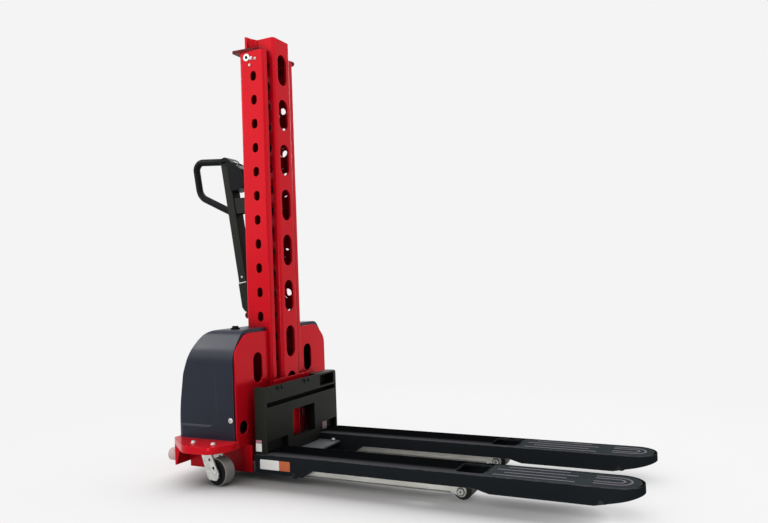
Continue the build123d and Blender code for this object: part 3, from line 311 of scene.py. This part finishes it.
# grey rubber whose pink cast is a painted reflection of the red plate
bufferRubberRedReflection = mouldedPlastic({
    "name": "greyBufferRubberRedReflection", "deep": "#AE9692", "light": "#C0A8A4", "cloud": 26, "grain": 1.6,
    "grainStrength": 0.35, "grainDepth": 0.3, "roughness": (0.6, 0.74), "ior": 1.52, "specular": 0.3})
rollerPolymer = mouldedPlastic({
    "name": "darkRollerPolymer", "deep": "#1A1A18", "light": "#242421", "cloud": 20, "grain": 1.6,
    "grainStrength": 0.25, "grainDepth": 0.2, "roughness": (0.44, 0.58), "ior": 1.5, "specular": 0.2})
buttonLook = {"cloud": 12, "grain": 1.0, "grainStrength": 0.1, "grainDepth": 0.08, "roughness": (0.26, 0.34),
              "ior": 1.53, "specular": 0.5}
buttonGreen = mouldedPlastic({**buttonLook, "name": "greenButtonAbs", "deep": "#17592D", "light": "#1D6A37"})
buttonGrey = mouldedPlastic({**buttonLook, "name": "greyButtonAbs", "deep": "#6B6C6E", "light": "#7A7B7D"})
filmLook = {"cloud": 20, "grain": 0.8, "grainStrength": 0.06, "grainDepth": 0.05, "roughness": (0.34, 0.44),
            "ior": 1.5, "specular": 0.4}
whiteFilm = mouldedPlastic({**filmLook, "name": "whiteVinylFilm", "deep": "#D6D6D3", "light": "#E4E4E1"})
orangeFilm = mouldedPlastic({**filmLook, "name": "orangeVinylFilm", "deep": "#B0552E", "light": "#BF6238"})
redFilm = mouldedPlastic({**filmLook, "name": "paleRedVinylFilm", "deep": "#A36C76", "light": "#B07882"})
mauveFilm = mouldedPlastic({**filmLook, "name": "mauveGreyVinylFilm", "deep": "#7F686D", "light": "#8A7277"})

# Bare and plated steels
legSteel = workedSteel({
    "name": "warmBrushedLegSteel", "deep": "#C2C1B9", "light": "#E4E3DC", "along": (0.03, 1, 1),
    "streak": 2.2, "cloud": 70, "roughness": (0.3, 0.44), "streakStrength": 0.2, "streakDepth": 0.05,
    "metallic": 0.6})
zincSteel = workedSteel({
    "name": "brightZincPlate", "deep": "#B0B3AF", "light": "#DEE0DB", "along": (1, 1, 1), "streak": 3.0,
    "cloud": 14, "roughness": (0.3, 0.46), "streakStrength": 0.15, "streakDepth": 0.05, "metallic": 0.6})
hardChrome = workedSteel({
    "name": "hardChromedRod", "deep": "#B5B6B9", "light": "#D5D6D8", "along": (1, 1, 0.05), "streak": 1.5,
    "cloud": 60, "roughness": (0.08, 0.16), "streakStrength": 0.05, "streakDepth": 0.02, "metallic": 1.0})
bearingSteel = workedSteel({
    "name": "groundBearingSteel", "deep": "#8A8B8B", "light": "#B4B5B5", "along": (1, 0.1, 1), "streak": 1.2,
    "cloud": 20, "roughness": (0.24, 0.36), "streakStrength": 0.1, "streakDepth": 0.03, "metallic": 0.95})
blackOxide = workedSteel({
    "name": "blackOxideScrew", "deep": "#0E0F10", "light": "#1C1D1F", "along": (1, 1, 1), "streak": 2.0,
    "cloud": 8, "roughness": (0.4, 0.54), "streakStrength": 0.15, "streakDepth": 0.04, "metallic": 0.5})

# The record's slots, and the nodes whose finish differs from their slot's
slotFinish = {
    "red_paint": redEnamel, "hood_plastic": hoodPlastic, "black_paint": carriageEnamel,
    "fork_paint": forkEnamel["right"], "tread_paint": treadEnamel, "grey_paint": greyEnamel,
    "leg_steel": legSteel, "zinc_steel": zincSteel, "black_oxide": blackOxide, "hard_chrome": hardChrome,
    "cylinder_steel": cylinderEnamel, "bearing_steel": bearingSteel, "roller_polymer": rollerPolymer,
    "wheel_plastic": wheelPlastic, "tread_rubber": treadRubber, "buffer_rubber": bufferRubberRedReflection,
    "grip_plastic": gripPlastic, "button_green": buttonGreen, "button_grey": buttonGrey}
# the cap plate and the limit switch take the darker red copy as painted shade
ownFinish = {"mast_cap_plate": shadedRedEnamel, "limit_switch": shadedRedEnamel, "heel_roller_left": blackOxide,
             "heel_roller_right": blackOxide, "fork_left": forkEnamel["left"]}
for part in frame["record"]["subparts"]:
    finish = ownFinish.get(part["node"], slotFinish[part["material_slot"]])
    finishes = nodes[part["node"]].data.materials
    finishes.clear()
    finishes.append(finish)
print("finishes on the frame:", len(slotFinish))

# Folded and sawn sheet has its edges broken, so these nodes get a fine bevel
brokenEdges = {
    "width": 1.2, "segments": 2, "sharpFrom": 35, "weldWithin": 0.02, "flatWithin": 0.5,
    "nodes": ["outer_mast", "inner_mast", "mast_cap_plate", "front_plate", "base_platform", "base_frame",
              "mount_plate", "carriage_frame", "cross_plate", "fork_left", "fork_right", "support_leg_left",
              "support_leg_right", "tiller_bracket", "tiller_arm", "tiller_sleeve", "tiller_stop",
              "control_head", "caster_fork_left", "caster_fork_right", "caster_plates"]}


def breakEdges(settings):
    for name in settings["nodes"]:
        node = nodes[name]
        weld = node.modifiers.new("closeSeams", "WELD")
        weld.merge_threshold = settings["weldWithin"] * mm
        flat = node.modifiers.new("joinFlats", "DECIMATE")
        flat.decimate_type = "DISSOLVE"
        flat.angle_limit = math.radians(settings["flatWithin"])
        bevel = node.modifiers.new("brokenEdges", "BEVEL")
        bevel.limit_method = "ANGLE"
        bevel.angle_limit = math.radians(settings["sharpFrom"])
        bevel.width = settings["width"] * mm
        bevel.segments = settings["segments"]
        bevel.profile = 0.5
        bevel.harden_normals = True


breakEdges(brokenEdges)
print("broken edges:", len(brokenEdges["nodes"]))

jointAt = {joint["name"]: Vector(joint["pos_m"]) for joint in frame["joints"] if "pos_m" in joint}
jointAxis = {joint["name"]: Vector(joint["axis"]) for joint in frame["joints"]}
up = Vector((0, 0, 1))
ahead = Vector((1, 0, 0))
leftwards = Vector((0, 1, 0))
hands = {"left": 1, "right": -1}
sharpAngle = 32  # the pieces below shade smooth up to this angle


def standOn(spot, outward):
    # A frame at the spot whose own Z points outward
    return Matrix.Translation(spot) @ outward.to_track_quat("Z", "Y").to_matrix().to_4x4()


def bothSides(spot, outward=None):
    # The spot on each side of the machine, facing sideways where no direction is given
    return [(Vector((spot.x, side * spot.y, spot.z)), side * leftwards if outward is None else outward)
            for side in hands.values()]


def addStack(shape, steps, where, ring=False):
    # Steps are (corners, radius, height): one circle each, bridged to the next
    loops = []
    for i, (corners, radius, height) in enumerate(steps):
        ends = not ring and i in (0, len(steps) - 1)
        circle = bmesh.ops.create_circle(shape, cap_ends=ends, segments=corners, radius=radius * mm,
                                         matrix=where @ Matrix.Translation((0, 0, height * mm)))
        loops.append(list(dict.fromkeys(edge for vert in circle["verts"] for edge in vert.link_edges)))
    pairs = list(zip(loops, loops[1:]))
    if ring:
        pairs.append((loops[-1], loops[0]))
    for low, high in pairs:
        bmesh.ops.bridge_loops(shape, edges=low + high)


def addPlate(shape, size, where):
    # A flat plate with rounded corners: size is (width, height, thickness, corner)
    width, height, thick, corner = (length * mm for length in size)
    scaled = Matrix.Translation((0, 0, thick / 2)) @ Matrix.Diagonal((width, height, thick, 1))
    block = bmesh.ops.create_cube(shape, size=1, matrix=where @ scaled)
    outward = where.to_3x3() @ up
    edges = dict.fromkeys(edge for vert in block["verts"] for edge in vert.link_edges)
    upright = [edge for edge in edges  # the four edges through the thickness
               if abs((edge.verts[0].co - edge.verts[1].co).normalized().dot(outward)) > 0.9]
    bmesh.ops.bevel(shape, geom=upright, affect="EDGES", offset=corner, segments=6, profile=0.5, material=-1)


def finishPiece(name, shape, body, finish, stands=()):
    bmesh.ops.recalc_face_normals(shape, faces=shape.faces[:])
    mesh = bpy.data.meshes.new(name)
    shape.to_mesh(mesh)
    shape.free()
    mesh.shade_smooth()
    mesh.set_sharp_from_angle(angle=math.radians(sharpAngle))
    mesh.materials.append(finish)
    made = bpy.data.objects.new(name, mesh)
    bpy.context.scene.collection.objects.link(made)
    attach(made, body)
    if stands:
        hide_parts(*stands)


# Heads as rings of (corners, share of the radius, share of the height)
heads = {
    "flangedHex": [(40, 1, 0), (40, 1, 0.2), (40, 0.94, 0.3), (6, 0.82, 0.3), (6, 0.82, 0.84), (6, 0.738, 1)],
    "socket": [(40, 1, 0), (40, 1, 0.84), (40, 0.9, 1), (6, 0.55, 1), (6, 0.55, 0.35)],
    "round": [(40, 1, 0), (40, 1, 0.35), (40, 0.86, 0.8), (40, 0.6, 1), (6, 0.42, 1), (6, 0.42, 0.3)]}


def headSteps(kind, radius, height):
    return [(corners, radius * wide, height * tall) for corners, wide, tall in heads[kind]]


def boltedSpots(node, radius):
    # The four corners that a node of upright bolts marks
    low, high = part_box(node)
    edge = radius * mm
    return [(Vector((x, y, low.z)), up) for x in (low.x + edge, high.x - edge)
            for y in (low.y + edge, high.y - edge)]


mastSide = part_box("outer_mast")[1].y
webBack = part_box("outer_mast")[0].x
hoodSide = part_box("hood")[1].y
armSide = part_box("tiller_arm")[1].y
pinLow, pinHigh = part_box("top_guide_pins")
pinMid = (pinLow + pinHigh) / 2
screwLow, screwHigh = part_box("carriage_bolts")
screwMid = (screwLow + screwHigh) / 2
screwRow = (-152, -130, 12, 35)  # across the carriage, in two pairs
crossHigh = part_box("cross_plate")[1]
crossInset = 18 * mm
nutAhead = 18 * mm  # from the guide pin
nutBelow = 5 * mm
keeperAt = ((-44.4, 1432.7), (-69.1, 1413.0))  # x and z of the two screws
stopLow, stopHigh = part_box("tiller_stop")
stopInset = 4.5 * mm
stopHalf = 11 * mm
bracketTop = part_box("tiller_bracket")[1].z
bracketInset = 15 * mm
bracketHalf = 13 * mm
baseThick = 6  # the tiller stop's and the bracket's plates on the mast
baseBack = webBack - baseThick * mm
fasteners = [
    {"name": "platformBolts", "body": "chassis", "slot": "zinc_steel", "stands": ["platform_bolts"],
     "steps": headSteps("flangedHex", 8, 6), "spots": boltedSpots("platform_bolts", 8)},
    {"name": "carriageScrews", "body": "lift", "slot": "black_oxide", "stands": ["carriage_bolts"],
     "steps": headSteps("socket", 7, 5),
     "spots": [(Vector((screwLow.x, y * mm, screwMid.z)), ahead) for y in screwRow]},
    {"name": "crossPlateBolts", "body": "lift", "slot": "zinc_steel",
     "steps": headSteps("flangedHex", 7.6, 5),
     "spots": bothSides(Vector((crossHigh.x - crossInset, crossHigh.y - crossInset, crossHigh.z)), up)},
    {"name": "guidePinScrews", "body": "chassis", "slot": "black_oxide", "steps": headSteps("round", 5.4, 3),
     "spots": bothSides(Vector((pinMid.x, pinHigh.y, pinMid.z)))},
    {"name": "keeperNuts", "body": "chassis", "slot": "bearing_steel", "steps": headSteps("flangedHex", 7, 4),
     "spots": bothSides(Vector((pinMid.x + nutAhead, mastSide, pinMid.z - nutBelow)))},
    {"name": "keeperScrews", "body": "chassis", "slot": "zinc_steel", "steps": headSteps("round", 5, 3),
     "spots": [spot for x, z in keeperAt for spot in bothSides(place(x, mastSide / mm, z))]},
    {"name": "armScrews", "body": "tiller", "slot": "zinc_steel", "steps": headSteps("round", 4.2, 2.4),
     "spots": bothSides(place(-185.3, armSide / mm, 664.5))},
    {"name": "hoodScrews", "body": "chassis", "slot": "zinc_steel", "steps": headSteps("round", 9, 3.4),
     "spots": bothSides(place(-45.1, hoodSide / mm, 197.1))},
    {"name": "stopScrews", "body": "chassis", "slot": "black_oxide", "steps": headSteps("round", 3.6, 3),
     "spots": [spot for z in (stopLow.z + stopInset, stopHigh.z - stopInset)
               for spot in bothSides(Vector((baseBack, stopHalf, z)), -ahead)]},
    {"name": "bracketBolts", "body": "chassis", "slot": "zinc_steel",
     "steps": headSteps("flangedHex", 6.5, 5),
     "spots": bothSides(Vector((baseBack, bracketHalf, bracketTop - bracketInset)), -ahead)}]
for fastener in fasteners:
    shape = bmesh.new()
    for spot, outward in fastener["spots"]:
        addStack(shape, fastener["steps"], standOn(spot, outward))
    finishPiece(fastener["name"], shape, fastener["body"], slotFinish[fastener["slot"]],
                fastener.get("stands", ()))
print("fasteners:", len(fasteners))

# Turned axles stand for the plain ones: shaft, washers and heads
loadAxle = {"half": 44, "shaft": [(40, 8, -44), (40, 8, 44)],
            "washer": [(48, 14.4, 0), (48, 14.4, 1.3), (48, 13.8, 1.8)],
            "boss": [(48, 9.4, 1.8), (48, 9.4, 4.3), (48, 8.7, 5), (48, 3.2, 5), (48, 2.6, 4)],
            "clip": [(48, 9.4, 1.8), (48, 12, 1.8), (48, 12, 2.8), (48, 9.4, 2.8)]}
axles = bmesh.new()
clips = bmesh.new()
for hand in hands:
    hub = jointAt[f"load_roller_{hand}_spin"]
    addStack(axles, loadAxle["shaft"], standOn(hub, leftwards))
    for side in hands.values():
        end = standOn(hub + side * loadAxle["half"] * mm * leftwards, side * leftwards)
        addStack(axles, loadAxle["washer"], end)
        addStack(axles, loadAxle["boss"], end)
        addStack(clips, loadAxle["clip"], end, ring=True)
finishPiece("loadAxles", axles, "chassis", zincSteel, ["load_roller_axles"])
finishPiece("loadAxleClips", clips, "chassis", blackOxide)

casterAxle = {"shaft": [(40, 5, -26), (40, 5, 26)],
              "head": [(40, 8.8, 26), (40, 8.8, 27), (6, 8, 27), (6, 8, 30.4), (6, 7.3, 31)],
              "nut": [(40, 8.8, -26), (40, 8.8, -27), (6, 8, -27), (6, 8, -30), (6, 7.3, -30.4),
                      (24, 4.8, -30.4), (24, 4.4, -31)]}
for hand, side in hands.items():
    shape = bmesh.new()
    where = standOn(jointAt[f"caster_{hand}_roll"], -side * jointAxis[f"caster_{hand}_roll"])
    for steps in casterAxle.values():
        addStack(shape, steps, where)
    finishPiece(f"casterAxle_{hand}", shape, f"caster_{hand}", zincSteel,
                [f"caster_axle_{hand}"])

tillerPin = {"half": 23.5, "shaft": [(40, 5, -23.5), (40, 5, 23.5)], "head": headSteps("socket", 8, 4)}
shape = bmesh.new()
addStack(shape, tillerPin["shaft"], standOn(jointAt["tiller_hinge"], leftwards))
for side in hands.values():
    end = jointAt["tiller_hinge"] + side * tillerPin["half"] * mm * leftwards
    addStack(shape, tillerPin["head"], standOn(end, side * leftwards))
finishPiece("tillerPin", shape, "chassis", blackOxide, ["tiller_pin"])

# A bright seam where the arm goes into its sleeve
sleeveSeam = {"lean": 8.8, "reach": 121.6, "size": (33, 3, 1.6, 0.6)}
shape = bmesh.new()
lean = Matrix.Rotation(math.radians(-sleeveSeam["lean"]), 4, "Y")
foot = jointAt["tiller_hinge"] + lean @ (sleeveSeam["reach"] * mm * up)
for side in hands.values():
    turned = lean @ standOn(Vector(), side * leftwards)
    addPlate(shape, sleeveSeam["size"], Matrix.Translation(foot + side * armSide * leftwards) @ turned)
finishPiece("sleeveSeam", shape, "tiller", zincSteel)

rearBuffer = {"pad": [(64, 21, 0), (64, 21, 3), (64, 19.6, 5), (64, 19.6, 9), (64, 21, 11), (64, 21, 31),
                      (64, 19.8, 34.4), (64, 17, 36), (64, 7, 36), (64, 6, 35), (64, 6, 27)],
              "screw": headSteps("socket", 5.4, 5), "depth": 27, "radius": 21}
bufferLow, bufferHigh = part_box("rear_buffers")
pads = bmesh.new()
screws = bmesh.new()
for side in hands.values():
    foot = Vector((bufferHigh.x, side * (bufferHigh.y - rearBuffer["radius"] * mm),
                   (bufferLow.z + bufferHigh.z) / 2))
    addStack(pads, rearBuffer["pad"], standOn(foot, -ahead))
    addStack(screws, rearBuffer["screw"], standOn(foot - rearBuffer["depth"] * mm * ahead, -ahead))
finishPiece("rearBuffers", pads, "chassis", bufferRubberRedReflection, ["rear_buffers"])
finishPiece("bufferScrews", screws, "chassis", blackOxide)

# Rims round the two push buttons
buttonRim = {"steps": [(48, 9.5, 0), (48, 11.6, 0), (48, 11.4, 0.9), (48, 9.9, 1.2)], "lift": 0.25}
shape = bmesh.new()
for button in ("raise", "lower"):
    low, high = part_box(f"{button}_button")
    normal = -jointAxis[f"{button}_press"]
    addStack(shape, buttonRim["steps"], standOn((low + high) / 2 + buttonRim["lift"] * mm * normal, normal),
             ring=True)
finishPiece("buttonRims", shape, "tiller", gripPlastic)
print("turned pieces done")

# Bare film patches where the machine carries its notices, left without words or signs
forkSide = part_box("fork_right")[0].y / mm
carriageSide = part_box("carriage_frame")[0].y / mm
patches = [
    {"name": "carriageSideFilm", "finish": whiteFilm, "size": (23, 26, 0.3, 2),
     "at": (20.5, carriageSide, 103), "faces": -leftwards},
    {"name": "carriageSideBand", "finish": redFilm, "size": (23, 10.6, 0.3, 2),
     "at": (20.5, carriageSide, 121.7), "faces": -leftwards},
    {"name": "forkSideFilm", "finish": whiteFilm, "size": (74, 31, 0.3, 3),
     "at": (66, forkSide, 52.5), "faces": -leftwards},
    {"name": "forkSideBand", "finish": orangeFilm, "size": (41, 31, 0.3, 3),
     "at": (123.5, forkSide, 52.5), "faces": -leftwards},
    {"name": "heelBayFilm", "finish": mauveFilm, "size": (30, 28, 0.3, 2),
     "at": (34, 163, 99), "faces": ahead}]
for patch in patches:
    shape = bmesh.new()
    addPlate(shape, patch["size"], standOn(place(*patch["at"]), patch["faces"]))
    finishPiece(patch["name"], shape, "lift", patch["finish"])
print("film patches:", len(patches))

cameraView = {"eye": (1411.4, -2074.2, 637.1), "yaw": 26.26, "pitch": 1.48, "roll": -2.05,
              "focalPixels": 691.67, "imageWidth": 768, "sensor": 36, "clipStart": 50}


def addCamera(view):
    yaw, pitch, roll = (math.radians(view[key]) for key in ("yaw", "pitch", "roll"))
    sight = Vector((-math.sin(yaw) * math.cos(pitch), math.cos(yaw) * math.cos(pitch), math.sin(pitch)))
    level = Vector((math.cos(yaw), math.sin(yaw), 0))
    upright = level.cross(sight)
    across = math.cos(roll) * level + math.sin(roll) * upright
    rise = math.cos(roll) * upright - math.sin(roll) * level
    lens = bpy.data.cameras.new("photoView")
    lens.sensor_fit = "HORIZONTAL"
    lens.sensor_width = view["sensor"]
    lens.lens = view["focalPixels"] / view["imageWidth"] * view["sensor"]
    lens.clip_start = view["clipStart"] * mm
    holder = bpy.data.objects.new("photoView", lens)
    turn = Matrix((across, rise, -sight)).transposed().to_4x4()
    holder.matrix_world = Matrix.Translation(place(*view["eye"])) @ turn
    bpy.context.scene.collection.objects.link(holder)
    bpy.context.scene.camera = holder


addCamera(cameraView)

# Paper floor and background; a contact share is how much of the floor's tone the deepest painted shade leaves
studio = {"paper": "#F4F4F4", "ambient": 0.38}
floorPaper = {"size": 16000, "tone": "#E2E2E2", "fadeFrom": 900, "fadeTo": 2200, "shadowLift": 0.14,
              "contactReach": 300, "contactSamples": 8, "openFrom": 0.1, "openTo": 0.95, "baseContact": 0.06,
              "tipContact": 0.8, "tipSpan": (0, 800), "rearContact": 0.95, "rearSpan": (-330, -120)}


def addBackground(look):
    world = bpy.data.worlds.new("paperStudio")
    bpy.context.scene.world = world
    world.use_nodes = True
    tree = world.node_tree
    tree.nodes.clear()
    rays = addNode(tree, "LightPath")
    seen = addNode(tree, "Math", {0: rays.outputs["Is Camera Ray"], 1: rays.outputs["Is Glossy Ray"]},
                   operation="MAXIMUM")
    shown = addNode(tree, "Math", {0: seen.outputs["Value"], 1: rays.outputs["Is Transmission Ray"]},
                    operation="MAXIMUM")
    sky = addNode(tree, "Background", {"Color": (1, 1, 1, 1), "Strength": look["ambient"]})
    sheet = addNode(tree, "Background", {"Color": linear(look["paper"]), "Strength": 1.0})
    mixed = addNode(tree, "MixShader", {0: shown.outputs["Value"], 1: sky.outputs[0], 2: sheet.outputs[0]})
    addNode(tree, "OutputWorld", {"Surface": mixed.outputs[0]})


def paperFinish(look):
    # Matt paper that runs out into the background; its painted shade, drawn from ambient occlusion of what stands
    # on it, is deep below the mast and thins towards the fork tips and behind the casters
    made, tree = newMaterial("paleFloorPaper")
    where = addNode(tree, "TexCoord").outputs["Object"]
    away = addNode(tree, "VectorMath", {0: where}, operation="LENGTH")
    fade = addNode(tree, "MapRange", {"Value": away.outputs["Value"], "From Min": look["fadeFrom"] * mm,
                                      "From Max": look["fadeTo"] * mm, "To Min": look["shadowLift"]},
                   interpolation_type="SMOOTHSTEP")
    rays = addNode(tree, "LightPath")
    asPaper = addNode(tree, "Math", {0: rays.outputs["Is Camera Ray"], 1: fade.outputs["Result"]},
                      operation="MULTIPLY")
    closed = addNode(tree, "AmbientOcclusion", {"Distance": look["contactReach"] * mm},
                     samples=look["contactSamples"])
    axes = addNode(tree, "SeparateXYZ", {"Vector": where})
    heel, tip = (place(x, 0, 0).x for x in look["tipSpan"])
    toTip = addNode(tree, "MapRange", {"Value": axes.outputs["X"], "From Min": heel, "From Max": tip,
                                       "To Min": look["baseContact"], "To Max": look["tipContact"]})
    rear, base = (place(x, 0, 0).x for x in look["rearSpan"])
    behind = addNode(tree, "MapRange", {"Value": axes.outputs["X"], "From Min": rear, "From Max": base,
                                        "To Min": look["rearContact"], "To Max": look["baseContact"]})
    deepest = addNode(tree, "Math", {0: toTip.outputs["Result"], 1: behind.outputs["Result"]},
                      operation="MAXIMUM")
    # painted shade on the floor, deepest where ambient occlusion closes in
    paintedContactShade = addNode(tree, "MapRange", {"Value": closed.outputs["AO"], "From Min": look["openFrom"],
                                         "From Max": look["openTo"], "To Min": deepest.outputs["Value"],
                                         "To Max": 1.0})
    tone = addNode(tree, "MixRGB", {"Fac": paintedContactShade.outputs["Result"], "Color1": (0, 0, 0, 1),
                                    "Color2": linear(look["tone"])})
    matt = addNode(tree, "BsdfDiffuse", {"Color": tone.outputs["Color"]})
    glow = addNode(tree, "Emission", {"Color": linear(studio["paper"]),
                                      "Strength": paintedContactShade.outputs["Result"]})
    mixed = addNode(tree, "MixShader", {0: asPaper.outputs["Value"], 1: matt.outputs[0], 2: glow.outputs[0]})
    addNode(tree, "OutputMaterial", {"Surface": mixed.outputs[0]})
    return made


def addFloor(look):
    shape = bmesh.new()
    bmesh.ops.create_grid(shape, x_segments=1, y_segments=1, size=look["size"] * mm / 2)
    mesh = bpy.data.meshes.new("paperFloor")
    shape.to_mesh(mesh)
    shape.free()
    mesh.materials.append(paperFinish(look))
    floor = bpy.data.objects.new("paperFloor", mesh)
    bpy.context.scene.collection.objects.link(floor)
    return floor


# Soft panels light the machine alone, and one wide sun lights the floor alone
lamps = [
    {"name": "keyPanel", "from": (-1600, -2000, 1900), "to": (0, 0, 600), "size": 2300, "watts": 26},
    {"name": "frontPanel", "from": (3000, -1400, 2100), "to": (0, 0, 500), "size": 2000, "watts": 12},
    {"name": "topPanel", "from": (400, -100, 3600), "to": (300, -100, 0), "size": 3000, "watts": 80},
    {"name": "lowPanel", "from": (2000, 2400, -130), "to": (0, 0, 400), "size": 450, "watts": 26,
     "shines": False},
    {"name": "hoodPanel", "from": (-2300, -1200, 2600), "to": (-150, -260, 360), "size": 1000, "watts": 27},
    {"name": "skirtPanel", "from": (200, -2600, 260), "to": (200, 0, 100), "size": 900, "watts": 12},
    {"name": "backPanel", "from": (-700, 2600, 2000), "to": (300, 0, 100), "size": 1400, "watts": 34}]
floorLamp = {"name": "floorWash", "from": (870, 560, 330), "to": (0, 0, 0), "spread": 30, "strength": 8.8,
             "shades": ["fork_left", "fork_right", "tip_plate_left", "tip_plate_right", "support_leg_left",
                        "support_leg_right", "cross_plate"]}


def hangLamp(light, lamp, lights, shades):
    holder = bpy.data.objects.new(lamp["name"], light)
    holder.location = place(*lamp["from"])
    holder.rotation_euler = (place(*lamp["to"]) - holder.location).to_track_quat("-Z", "Y").to_euler()
    holder.light_linking.receiver_collection = lights
    holder.light_linking.blocker_collection = shades
    holder.visible_glossy = lamp.get("shines", True)
    bpy.context.scene.collection.objects.link(holder)


def addLamps(floor):
    onFloor = bpy.data.collections.new("floorAlone")
    offFloor = bpy.data.collections.new("allButFloor")
    for group in (onFloor, offFloor):
        group.objects.link(floor)
    offFloor.collection_objects[0].light_linking.link_state = "EXCLUDE"
    for lamp in lamps:
        light = bpy.data.lights.new(lamp["name"], "AREA")
        light.size = lamp["size"] * mm
        light.energy = lamp["watts"]
        hangLamp(light, lamp, offFloor, offFloor)
    shades = bpy.data.collections.new("floorShades")
    for name in floorLamp["shades"]:
        shades.objects.link(nodes[name])
    light = bpy.data.lights.new(floorLamp["name"], "SUN")
    light.angle = math.radians(floorLamp["spread"])
    light.energy = floorLamp["strength"]
    hangLamp(light, floorLamp, onFloor, shades)


bpy.context.scene.view_settings.view_transform = "Standard"
addBackground(studio)
addLamps(addFloor(floorPaper))
print("studio and camera set")
